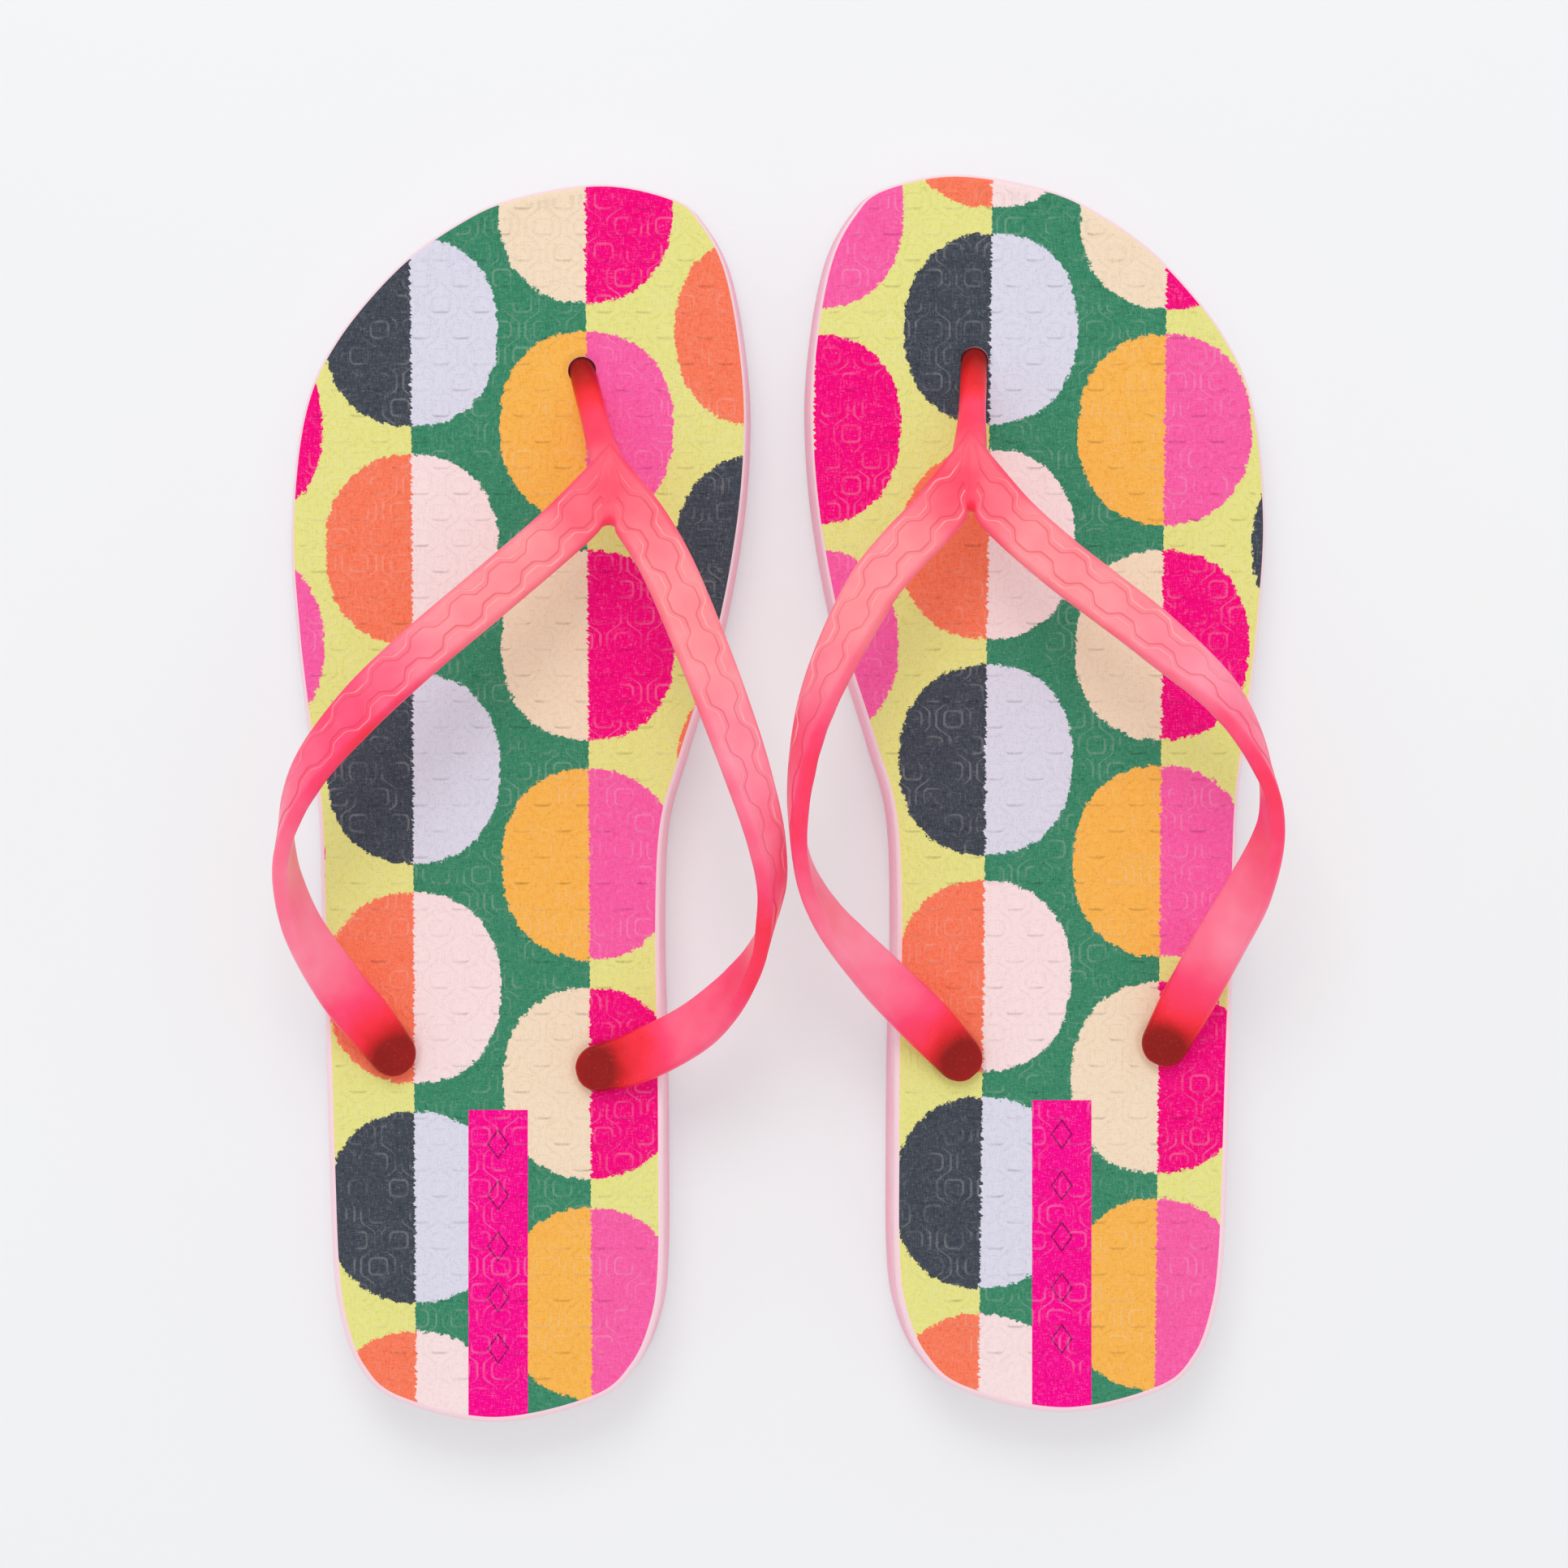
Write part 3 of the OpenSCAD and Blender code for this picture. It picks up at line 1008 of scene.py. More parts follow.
@dataclass(frozen=True)
class PinkFoam(Finish):
    """The foam of a sole, or its unprinted rim."""

    scatter: float = 0.3
    scatter_reach: tuple[float, float, float] = (0.005, 0.0025, 0.003)
    pale: Ink = Ink.FOAM
    # The colour towards the ground, where shade is painted onto the foam's wall.
    deep: Ink = Ink.FOAM_SHADE
    bump_depth: float = 0.00009

    def make(self, effects: Effects) -> bpy.types.Material:
        """Builds the material.

        Args:
            effects: The shared shader groups.

        Returns:
            The material.
        """
        material, g, shader = self.start()
        spot = g.spot()
        grain = g.group(effects.grain, Vector=spot, Size=0.6, Threads=0.0)
        cells = g.node("ShaderNodeTexVoronoi", feature="F1")
        g.feed(cells.inputs["Vector"], spot)
        g.feed(cells.inputs["Scale"], 1.15)
        pores = g.step(cells.outputs["Distance"], 0.08, 0.3)
        _, _, z = g.split(spot)
        # Painted shade: the foam is made deeper pink towards the ground.
        fade = g.step(z, 2.0, 15.0, 0.8, 0.15)
        cloud = g.step(g.noise(spot, 0.06, 3.0), 0.3, 0.7, 0.0, 0.3)
        base = g.blend(g.add(fade, cloud, clamp=True), self.pale.linear(), self.deep.linear())
        # Painted shade: the pores are made darker than the foam round them.
        spotted = g.blend(g.times(g.less(1.0, pores), 0.22), base,
                          g.blend(0.5, self.deep.linear(), PORE_SHADE))
        g.feed(shader.inputs["Base Color"], self.calm(g, spotted, 0.9))
        g.feed(shader.inputs["Roughness"], g.times_plus(grain.outputs["Value"], 0.2, self.roughness - 0.1))
        self.scatter_light(shader)
        height = g.times_plus(pores, 0.6, g.times(grain.outputs["Height"], 0.6))
        self.bump(g, shader, height, self.bump_depth)
        return material


@dataclass(frozen=True)
class CoralPlastic(Finish):
    """The soft translucent plastic of a strap, with painted light and shade: deeper where thick or shaded."""

    shades: tuple[tuple[float, tuple[int, int, int]], ...] = (
        (0.0, (255, 156, 176)), (0.3, (255, 110, 141)), (0.5, (255, 72, 115)), (0.68, (250, 52, 74)),
        (0.85, (214, 34, 40)), (1.0, (145, 20, 14)))
    scatter: float = 0.6
    scatter_reach: tuple[float, float, float] = (0.0035, 0.0018, 0.002)
    glow: float = 0.06
    coat: float = 0.12
    coat_roughness: float = 0.22
    channel_step: float = 2.3
    bump_depth: float = 0.00016

    def make(self, effects: Effects) -> bpy.types.Material:
        """Builds the material.

        Args:
            effects: The shared shader groups.

        Returns:
            The material.
        """
        material, g, shader = self.start()
        spot = g.spot()
        grain = g.group(effects.grain, Vector=spot, Size=0.5, Threads=0.0)
        # Painted light and shade: the value on the mesh sets how pale or deep the coral is, with a random
        # cloud.
        deep = g.attribute("painted_shading")
        cloud = g.less(g.noise(spot, 0.11, 2.0), 0.5)
        share = g.times_plus(cloud, g.step(deep, 0.75, 0.95, 0.36, 0.1), deep, clamp=True)
        colours = g.node("ShaderNodeValToRGB")
        g.feed(colours.inputs[0], share)
        strip = colours.color_ramp
        while len(strip.elements) < len(self.shades):
            strip.elements.new(0.5)
        for stop, (place, shade) in zip(strip.elements, self.shades):
            stop.position = place
            stop.color = (*[(v / 255) ** 2.2 for v in shade], 1.0)
        speck = g.blend(g.step(grain.outputs["Value"], 0.55, 0.95, 0.0, 0.12), colours.outputs[0], STRAP_SPECK)
        across, along, moulded = g.attribute("across"), g.attribute("along"), g.attribute("moulded")
        near, far = (
            g.times(moulded, effects.place_links(g, STRAP_LINKS, pitch, across, along).outputs["Lines"])
            for pitch in (STRAP_LINKS.pitch, STRAP_LINKS.pitch + self.channel_step))
        coral = g.blend(g.step(along, 35.0, 75.0, 1.0, 0.0), speck, STRAP_FRONT, "MULTIPLY")
        # Painted highlight along the far edge of each channel, and painted shade along its near edge.
        shine = g.times(far, g.step(cloud, -0.16, 0.14, 0.12, 0.5))
        lit = g.blend(shine, coral, STRAP_LIT_LINE)
        lined = g.blend(g.times(near, 0.36), lit, STRAP_SHADED_LINE)
        g.feed(shader.inputs["Base Color"], self.calm(g, lined, 0.6))
        # Painted light: a weak glow in the strap's colours stands in for light that passes through the plastic.
        g.feed(shader.inputs["Emission Color"], lined)
        shader.inputs["Emission Strength"].default_value = self.glow
        g.feed(shader.inputs["Roughness"], g.times_plus(grain.outputs["Value"], 0.12, self.roughness - 0.06))
        self.scatter_light(shader)
        shader.inputs["Coat Weight"].default_value = self.coat
        shader.inputs["Coat Roughness"].default_value = self.coat_roughness
        height = g.times_plus(g.math("MAXIMUM", near, far), -0.45, g.times(grain.outputs["Height"], 0.12))
        self.bump(g, shader, height, self.bump_depth)
        return material


@dataclass(frozen=True)
class PaleFloor(Finish):
    """The plain floor."""

    def make(self, effects: Effects) -> bpy.types.Material:
        """Builds the material.

        Args:
            effects: The shared shader groups; not used here.

        Returns:
            The material.
        """
        material, g, shader = self.start()
        spot = g.spot()
        cloud = g.step(g.noise(spot, 0.004, 2.0), 0.3, 0.7)
        pale = Ink.FLOOR.linear()
        dusty = (*[v * 0.99 for v in pale[:3]], 1.0)
        g.feed(shader.inputs["Base Color"], g.blend(cloud, pale, dusty))
        return material


# ---------- The sandal's pieces ----------


@dataclass(frozen=True)
class Holes:
    """Where the strap passes through a sandal, in the sandal's own frame."""

    toe: tuple[float, float] = (16.5, 89.0)
    outer: tuple[float, float] = (-22.0, -51.5)
    inner: tuple[float, float] = (20.0, -54.5)
    side_radius: float = 4.1
    toe_radius: float = 2.9
    recess_radius: float = 11.0
    recess_depth: float = 4.0
    seat_depth: float = 0.7
    seat_radius: float = 5.2

    def all(self) -> tuple[tuple[tuple[float, float], float], ...]:
        """Each hole's place and radius."""
        return (self.toe, self.toe_radius), (self.outer, self.side_radius), (self.inner, self.side_radius)


@dataclass(frozen=True)
class Footbed:
    """The thin printed sheet with its moulded links, its unprinted rim and its strap holes."""

    stance: Stance
    outline: Outline
    holes: Holes
    sheet: PrintedSheet
    rim: PinkFoam
    thickness: float = 2.0
    chamfer: float = 1.2
    relief: float = 0.1
    heel_margin: float = 6.5
    side_margin: float = 1.6
    bare_ring: float = 2.2
    toe_dip: float = 0.8
    hem_groove: float = 0.1
    hollows: float = 0.06
    overlap: float = 0.02
    rim_angles: tuple[int, ...] = (38, 64, 90)
    rows: int = 515
    columns: int = 172

    def reach(self, points: np.ndarray, steps: int = 2400) -> np.ndarray:
        """How far points of the sheet are from its edge.

        Args:
            points: Points in the sandal's own frame.
            steps: Points on the edge that the distance is measured from.

        Returns:
            Distances in millimetres.
        """
        edge = self.outline.at(np.linspace(0, 2 * self.outline.tip, steps))
        near = np.full(len(points), 1e9)
        for part in np.array_split(np.arange(steps), 12):
            gaps = np.abs(points[:, None, 0] - edge[None, part, 0]) ** 2
            gaps += np.abs(points[:, None, 1] - edge[None, part, 1]) ** 2
            near = np.minimum(near, gaps.min(axis=1))
        return np.sqrt(near)

    def emboss(self, points: np.ndarray, near: np.ndarray) -> np.ndarray:
        """How strongly the links stand out at points of the sheet: not at all near the edge.

        Args:
            points: Points in the sandal's own frame.
            near: How far each is from the edge.

        Returns:
            Numbers from 0 to 1.
        """
        heel = ramp(points[:, 1], -96, -106)
        margin = self.side_margin + (self.heel_margin - self.side_margin) * heel
        share = ramp(near, margin, margin + 0.5)
        for place, radius in self.holes.all():
            share *= ramp(gaps_from(points, place), radius + self.bare_ring, radius + self.bare_ring + 2.0)
        return share

    def surface(self, points: np.ndarray, share: np.ndarray) -> np.ndarray:
        """Height of the sheet's face at points of it, with its links, seats and gentle hollows.

        Args:
            points: Points in the sandal's own frame.
            share: How strongly the links stand out at each.

        Returns:
            Heights above the ground.
        """
        across, along = self.stance.turn * points[:, 0], points[:, 1] + self.stance.lead
        lines = SHEET_LINKS.lines(across, along)
        boxes = SHEET_LINKS.boxes(across, along)
        level = self.stance.top(points[:, 1]) - self.relief
        level += self.relief * share * np.maximum(lines, boxes)
        level -= self.hem_groove * np.exp(-((share - 0.04) / 0.03) ** 2) * ramp(points[:, 1], -70, -80)
        level -= self.hollows * (1 + noise_field(points[:, :2], 34, 5)) / 2
        for place in (self.holes.outer, self.holes.inner):
            slope = ramp(gaps_from(points, place), self.holes.side_radius, self.holes.seat_radius + 0.8)
            level -= self.holes.seat_depth * (1 - slope)
        slope = ramp(gaps_from(points, self.holes.toe), self.holes.toe_radius, self.holes.toe_radius + 1.3)
        level -= self.toe_dip * (1 - slope)
        return level

    def build(self, effects: Effects) -> bpy.types.Object:
        """Makes the sheet.

        Args:
            effects: The shared shader groups.

        Returns:
            The piece.
        """
        work = foot_grid(self.outline, self.rows, self.columns, -self.chamfer)
        loops = [open_hole(work, place, radius) for place, radius in self.holes.all()]
        points = places_of(work.verts)
        near = self.reach(points)
        share = self.emboss(points, near)
        points[:, 2] = self.surface(points, share)
        put(work.verts[:], points)
        for name in ("emboss", "edge"):
            work.verts.layers.float.new(name)
        emboss, edge = (work.verts.layers.float[name] for name in ("emboss", "edge"))
        for vertex, strength, gap in zip(work.verts, share, near):
            vertex[emboss], vertex[edge] = strength, gap
        inner_edges = {e for loop in loops for e in loop}
        outer = [e for e in open_edges(work) if e not in inner_edges]
        for angle in np.radians(self.rim_angles):
            inset = self.chamfer * (1 - math.sin(angle))
            below = self.chamfer * (1 - math.cos(angle)) + self.relief * math.cos(angle)
            outer = ring_loop(work, outer, self.outline, -inset, None, self.stance, below)
            for vertex in {v for e in outer for v in e.verts}:
                vertex[edge] = inset
        before = set(work.faces)
        ring_loop(work, outer, self.outline, 0.0, None, self.stance, self.thickness - self.overlap)
        for loop in loops:
            fresh, _ = grow(work, loop)
            ends = places_of(fresh)
            ends[:, 2] = self.stance.top(ends[:, 1]) - self.thickness + self.overlap
            put(fresh, ends)
        for face in set(work.faces) - before:
            face.material_index = 1
        close_sheet(work, down=True, index=1)
        coats = [self.sheet.make(effects), self.rim.make(effects)]
        return finish_piece(work, "printed_footbed", self.stance, coats, "footbed")


@dataclass(frozen=True)
class Sole:
    """The block of foam, with a tread of wavy grooves and a recess for each of the strap's discs."""

    stance: Stance
    outline: Outline
    holes: Holes
    foam: PinkFoam
    footbed_thickness: float = 2.0
    flare: float = 1.0
    chamfer: float = 1.2
    edge_angles: tuple[int, ...] = (30, 60, 90)
    waist_height: float = 6.5
    groove_depth: float = 0.7
    groove_pitch: float = 6.0
    groove_swing: float = 3.2
    groove_wave: float = 9.0
    plain_edge: float = 5.0
    plain_ring: float = 1.8
    rows: int = 330
    columns: int = 110

    def tread(self, points: np.ndarray) -> np.ndarray:
        """Depth of the tread's grooves.

        Args:
            points: Points in the sandal's own frame.

        Returns:
            How far each point is raised above the ground.
        """
        wave = np.abs(np.mod(points[:, 0] / self.groove_wave, 1) - 0.5) * 2
        place = (points[:, 1] + self.groove_swing * smooth(wave)) / self.groove_pitch
        gap = np.abs(place - np.round(place)) * self.groove_pitch
        groove = 1 - ramp(gap, 0.45, 1.05)
        edge = self.outline.at(np.linspace(0, 2 * self.outline.tip, 900))
        near = np.sqrt(((points[:, None, :2] - edge[None]) ** 2).sum(axis=2).min(axis=1))
        groove *= ramp(near, self.plain_edge, self.plain_edge + 0.8)
        for place, _ in self.holes.all():
            plain = self.holes.recess_radius + self.plain_ring
            groove *= ramp(gaps_from(points, place), plain, plain + 0.8)
        return self.groove_depth * groove

    def build(self, effects: Effects) -> bpy.types.Object:
        """Makes the foam block.

        Args:
            effects: The shared shader groups.

        Returns:
            The piece.
        """
        work = foot_grid(self.outline, self.rows, self.columns, self.flare - self.chamfer)
        loops = [open_hole(work, place, self.holes.recess_radius) for place, _ in self.holes.all()]
        points = places_of(work.verts)
        points[:, 2] = self.tread(points)
        put(work.verts[:], points)
        inner_edges = {e for loop in loops for e in loop}
        outer = [e for e in open_edges(work) if e not in inner_edges]
        under = self.footbed_thickness
        for angle in np.radians(self.edge_angles):
            outer = ring_loop(work, outer, self.outline, self.flare - self.chamfer * (1 - math.sin(angle)),
                              self.chamfer * (1 - math.cos(angle)), self.stance)
        outer = ring_loop(work, outer, self.outline, self.flare * 0.55, self.waist_height, self.stance)
        outer = ring_loop(work, outer, self.outline, 0.05, None, self.stance, under + 0.35)
        ring_loop(work, outer, self.outline, -0.25, None, self.stance, under)
        for loop, (place, radius) in zip(loops, self.holes.all()):
            self.sink(work, loop, place, radius)
        close_sheet(work, down=False, index=0)
        return finish_piece(work, "foam_sole", self.stance, [self.foam.make(effects)], "sole")

    def sink(self, work: bmesh.types.BMesh, loop: Sequence[bmesh.types.BMEdge], place: tuple[float, float],
             radius: float) -> None:
        """Draws a recess and the hole above it up through the foam.

        Args:
            work: The mesh that is being made.
            loop: The edges round the recess on the ground side.
            place: The middle of the hole.
            radius: The radius of the hole.
        """
        middle = np.array(place)
        for reach, level in ((self.holes.recess_radius, self.holes.recess_depth),
                             (radius, self.holes.recess_depth), (radius, None)):
            fresh, loop = grow(work, loop)
            ends = places_of(fresh)
            away = ends[:, :2] - middle
            ends[:, :2] = middle + unit(away) * reach
            ends[:, 2] = self.stance.top(ends[:, 1]) - self.footbed_thickness if level is None else level
            put(fresh, ends)


@dataclass(frozen=True)
class Arm:
    """One arm of a strap: its centre line from the join to the hole, each point with the turn of the band."""

    turn: int
    route: tuple[tuple[float, float, float, float], ...]
    deep_at: float

    def frames(self, strap: "Strap", step: float) -> tuple[np.ndarray, ...]:
        """The rings along the arm.

        Args:
            strap: The strap that the arm belongs to.
            step: The distance from ring to ring.

        Returns:
            Centres, half width vectors, half thickness vectors, and the length along the arm, from the join on.
        """
        route = np.array(self.route, float)
        fine = np.linspace(0, len(route) - 1, 3000)
        line = through(route, fine, False)[:, :3]
        run = np.concatenate([[0], np.cumsum(np.linalg.norm(np.diff(line, axis=0), axis=1))])
        travel = np.linspace(0, run[-1], int(run[-1] / step))
        place = np.interp(travel, run, fine)
        here = through(route, place, False)
        ahead = through(route, np.minimum(place + 0.12, len(route) - 1), False)[:, :3]
        behind = through(route, np.maximum(place - 0.12, 0), False)[:, :3]
        along = unit(ahead - behind)
        level = unit(np.column_stack([-along[:, 1], along[:, 0], np.zeros(len(along))])) * self.turn
        up = unit(np.cross(along, level)) * self.turn
        roll = np.radians(here[:, 3:])
        across = np.cos(roll) * level + np.sin(roll) * up
        face = unit(np.cross(along, across)) * self.turn
        centres = here[:, :3]
        past = np.arange(1, int(strap.tab_radius / step) + 1) * step
        past = np.append(past[past < strap.tab_radius - 0.02], strap.tab_radius)
        tail = centres[-1] + past[:, None] * along[-1] * (1, 1, 0.4)
        centres = np.vstack([centres, tail])
        across = np.vstack([across, np.repeat(across[-1:], len(past), axis=0)])
        face = np.vstack([face, np.repeat(face[-1:], len(past), axis=0)])
        travel = np.concatenate([travel, travel[-1] + past])
        left = travel[-1] - travel
        narrow = smooth(left / (3.5 * strap.tab_radius))
        half = strap.tab_radius + (strap.width / 2 - strap.tab_radius) * narrow
        thick = np.full(len(travel), strap.thickness / 2)
        short = left < strap.tab_radius
        bow = 1 - left[short] / strap.tab_radius
        half[short] *= np.sqrt(np.maximum(1 - bow ** 2, 0))
        thick[short] *= np.sqrt(np.maximum(1 - bow ** 4, 0))
        mix = smooth(np.linalg.norm(centres - centres[0], axis=1) / strap.join_length)[:, None]
        joint = np.array([0, -1, strap.join_lean]) * strap.crotch_width / 2
        sides = (1 - mix) * joint + mix * half[:, None] * across
        early = smooth(travel / 6)[:, None]
        ups = unit((1 - early) * np.array([0, strap.join_lean, 1]) + early * face) * thick[:, None]
        return centres, sides, ups, travel


@dataclass(frozen=True)
class Strap:
    """The moulded strap: two arms in one band, the toe post and the stems with their discs."""

    stance: Stance
    holes: Holes
    outer: Arm
    inner: Arm
    plastic: CoralPlastic
    width: float = 10.8
    thickness: float = 3.36
    crotch_width: float = 15.0
    join_lean: float = 0.25
    join_length: float = 12.0
    crotch_round: float = 2.6
    tab_radius: float = 4.7
    post_radius: float = 2.75
    stem_radius: float = 4.0
    disc_radius: float = 10.0
    disc_top: float = 4.0
    disc_thickness: float = 3.0
    slack: float = 0.02
    dome: float = 2.2
    ring_step: float = 0.4
    relief: float = 0.2
    channel: float = 1.15
    ring_height: float = 0.16
    dimple_depth: float = 0.07

    def section(self) -> np.ndarray:
        """Points round the band.

        Returns:
            Rows of the share of the half width, the share of the half thickness, and 1 on the upper face, -1 on
            the lower one and 0 on the edges.
        """
        flat, shoulder, crown, hollow = 0.86, 0.85, 0.08, 0.1
        turns = [math.radians(a) for a in np.linspace(15, 165, 6)]
        hem = [(flat + (1 - flat) * math.sin(a), math.cos(a) * shoulder, 0.0) for a in turns]
        upper = [(v, 1 - crown * (v / flat) ** 2, 1.0) for v in np.linspace(flat, -flat, 32)]
        lower = [(v, -1 + hollow * (v / flat) ** 2, -1.0) for v in np.linspace(-flat, flat, 28)]
        return np.array(upper + [(-v, level, side) for v, level, side in hem] + lower + hem[::-1])

    def pattern(self, across: np.ndarray, along: np.ndarray) -> np.ndarray:
        """Height of the strap's moulded links: a row of plates between two channels, with half links outside.

        Args:
            across: Places across the band, in millimetres.
            along: Places along the band.

        Returns:
            Heights in millimetres, 0 on the plates.
        """
        soft, hem_at = 0.16, 4.8
        edge = STRAP_LINKS.pitch / 2 + STRAP_LINKS.swing * STRAP_LINKS.wave(along)
        off = np.abs(across) - edge
        channel = ramp(off, -soft, soft) - ramp(off, self.channel - soft, self.channel + soft)
        hem = 1 - ramp(np.abs(np.abs(across) - hem_at), 0.08, 0.32)
        return -self.relief * (channel + 0.6 * hem)

    def marks(self, across: np.ndarray, left: np.ndarray) -> np.ndarray:
        """Three plain raised rings near the end of the inner arm.

        Args:
            across: Places across the band.
            left: The length left to the end of the tab.

        Returns:
            Heights from 0 to 1.
        """
        start, step, side, radius = 5.2, 1.4, 2.4, 0.85
        height = np.zeros(np.broadcast(across, left).shape)
        for number in range(3):
            gap = np.abs(np.hypot(left - start - step * number, across - side + side * number) - radius)
            height = np.maximum(height, 1 - ramp(gap, 0.12, 0.36))
        return height

    def build_arms(self, coat: bpy.types.Material) -> bpy.types.Object:
        """Makes the band of both arms.

        Args:
            coat: The strap's material.

        Returns:
            The piece.
        """
        parts = [arm.frames(self, self.ring_step) for arm in (self.outer, self.inner)]
        first, second = parts
        joined = [np.concatenate([a[::-1], b[1:]]) for a, b in zip(first, second)]
        centres, sides, ups, travel = joined
        count = len(first[3])
        total = np.where(np.arange(len(travel)) < count, first[3][-1], second[3][-1])
        section = self.section()
        upper, lower = section[None, :, 2] > 0, section[None, :, 2] < 0
        across = section[None, :, 0] * self.width / 2
        along, left = travel[:, None], (total - travel)[:, None]
        share = 1 - ramp(along / total[:, None], *PATTERN_END)
        lift = self.pattern(across, along) * upper * share
        lift = lift * ramp(left, 1.0, 8.0)
        inner_half = (np.arange(len(travel)) >= count)[:, None]
        lift = lift + self.ring_height * self.marks(across, left) * lower * inner_half
        dimples = noise_field(centres, 7, 3)[:, None] * lower
        lift = lift - self.dimple_depth * (1 + dimples) * lower * ramp(left, 2.0, 10.0)
        work = swept(centres, sides, ups, section[:, :2], lift)
        self.round_crotch(work, travel, centres, section)
        deep_at = np.where(np.arange(len(travel)) < count, self.outer.deep_at, self.inner.deep_at)
        self.paint_band_shading(work, travel, total, deep_at, section)
        return finish_piece(work, "strap_arms", self.stance, [coat], "strap")

    def round_crotch(self, work: bmesh.types.BMesh, travel: np.ndarray, centres: np.ndarray,
                     section: np.ndarray) -> None:
        """Fills the sharp corner between the arms with a round one.

        Args:
            work: The band's mesh.
            travel: Each ring's length from the join.
            centres: Each ring's middle.
            section: Points round a ring.
        """
        ring_layer, spot_layer = work.verts.layers.float["ring"], work.verts.layers.float["spot"]
        steps = np.linalg.norm(np.gradient(centres, axis=0), axis=1)
        lean = np.abs(np.gradient(centres[:, 1]) / np.maximum(steps, 1e-6))
        rings = np.arange(len(lean))
        lean = np.interp(rings, rings[travel > 3], lean[travel > 3])
        drop = lean * (np.hypot(travel, self.crotch_round) - travel) * (1 - ramp(travel, 10, 18))
        for vertex in work.verts:
            share = max(section[int(vertex[spot_layer]), 0], 0.0)
            vertex.co.y -= drop[int(vertex[ring_layer])] * share ** 2

    def paint_band_shading(self, work: bmesh.types.BMesh, travel: np.ndarray, total: np.ndarray, deep_at: np.ndarray,
                 section: np.ndarray) -> None:
        """Paints light and shade into the band's colour: pale in front, deep at the edges and the tabs.

        Args:
            work: The band's mesh.
            travel: Each ring's length from the join.
            total: The length of each ring's arm.
            deep_at: The share of each ring's arm at which the bend's painted shade is deepest.
            section: Points round a ring.
        """
        ring_layer, spot_layer = work.verts.layers.float["ring"], work.verts.layers.float["spot"]
        painted_shading = work.verts.layers.float.new("painted_shading")
        left = total - travel
        share = travel / total
        # Painted shade: deeper at the join, paler behind it, deepest in the bend and at the tab.
        base = 0.40 - 0.34 * ramp(travel, 3, 26)
        base += 0.4 * np.exp(-((share - deep_at) / 0.13) ** 2)
        base += 0.12 * ramp(share, 0.5, 0.65) + 0.6 * (1 - ramp(left, 6, 32))
        # Painted shade: the band's edges are made deeper than its middle, mostly on the front half.
        hem = 0.16 - 0.12 * ramp(share, 0.45, 0.65)
        across, along, moulded = (work.verts.layers.float.new(n) for n in ("across", "along", "moulded"))
        shown = (1 - ramp(share, *PATTERN_END)) * ramp(travel, 1.5, 4.0)
        for vertex in work.verts:
            ring, spot = int(vertex[ring_layer]), int(vertex[spot_layer])
            v, _, face = section[spot]
            edge = float(ramp(abs(v), 0.72, 1.0))
            end = 1 - float(ramp(math.hypot(left[ring] - self.tab_radius * 0.8, v * self.tab_radius), 0.5, 9.5))
            vertex[painted_shading] = min(1.0, max(0.0, base[ring] + hem[ring] * edge + 0.34 * end))
            vertex[across], vertex[along] = v * self.width / 2, travel[ring]
            vertex[moulded] = shown[ring] if face > 0 and abs(v) < 0.84 else 0.0

    def build_post(self, coat: bpy.types.Material) -> bpy.types.Object:
        """Makes the toe post with its disc.

        Args:
            coat: The strap's material.

        Returns:
            The piece.
        """
        toe = np.array([*self.holes.toe, 0.0])
        foot = toe + (0, 0, self.disc_top - 1)
        join = np.array(self.outer.route[0][:3])
        bend = toe + (0, 0, float(self.stance.top(toe[1])) - 3.0)
        knots = np.array([foot, foot * 0.5 + bend * 0.5, bend, bend * 0.62 + join * 0.38 + (0, 0, 0.2),
                          bend * 0.32 + join * 0.68 + (0, 0, -0.9), join + (0, 2.5, -2.6)])
        places = np.linspace(0, len(knots) - 1, 120)
        line = through(knots, places, False)
        along = unit(np.gradient(line, axis=0))
        side = unit(np.cross(along, np.tile([[0.0, 1.0, 0.25]], (len(line), 1))))
        up = unit(np.cross(side, along))
        rise = np.linspace(0, 1, len(line))
        wide = self.post_radius + 0.7 * ramp(rise, 0.6, 1.0)
        thick = np.full(len(line), self.post_radius) - 0.5 * ramp(rise, 0.6, 1.0)
        turns = np.radians(np.arange(0, 360, 10))
        section = np.stack([np.cos(turns), np.sin(turns)], axis=1)
        level = np.zeros((len(line), len(turns)))
        work = swept(line, side * wide[:, None], up * thick[:, None], section, level)
        bmesh.ops.holes_fill(work, edges=open_edges(work), sides=0)
        ring_layer = work.verts.layers.float["ring"]
        painted_shading = work.verts.layers.float.new("painted_shading")
        # Painted shade: the post is darkest in and just above its hole, and paler towards the join.
        shade = 1.0 - 0.5 * ramp(rise, 0.40, 0.72) - 0.1 * ramp(rise, 0.7, 0.95)
        for vertex in work.verts:
            vertex[painted_shading] = float(shade[int(vertex[ring_layer])])
        return finish_piece(work, "toe_post", self.stance, [coat], "strap")

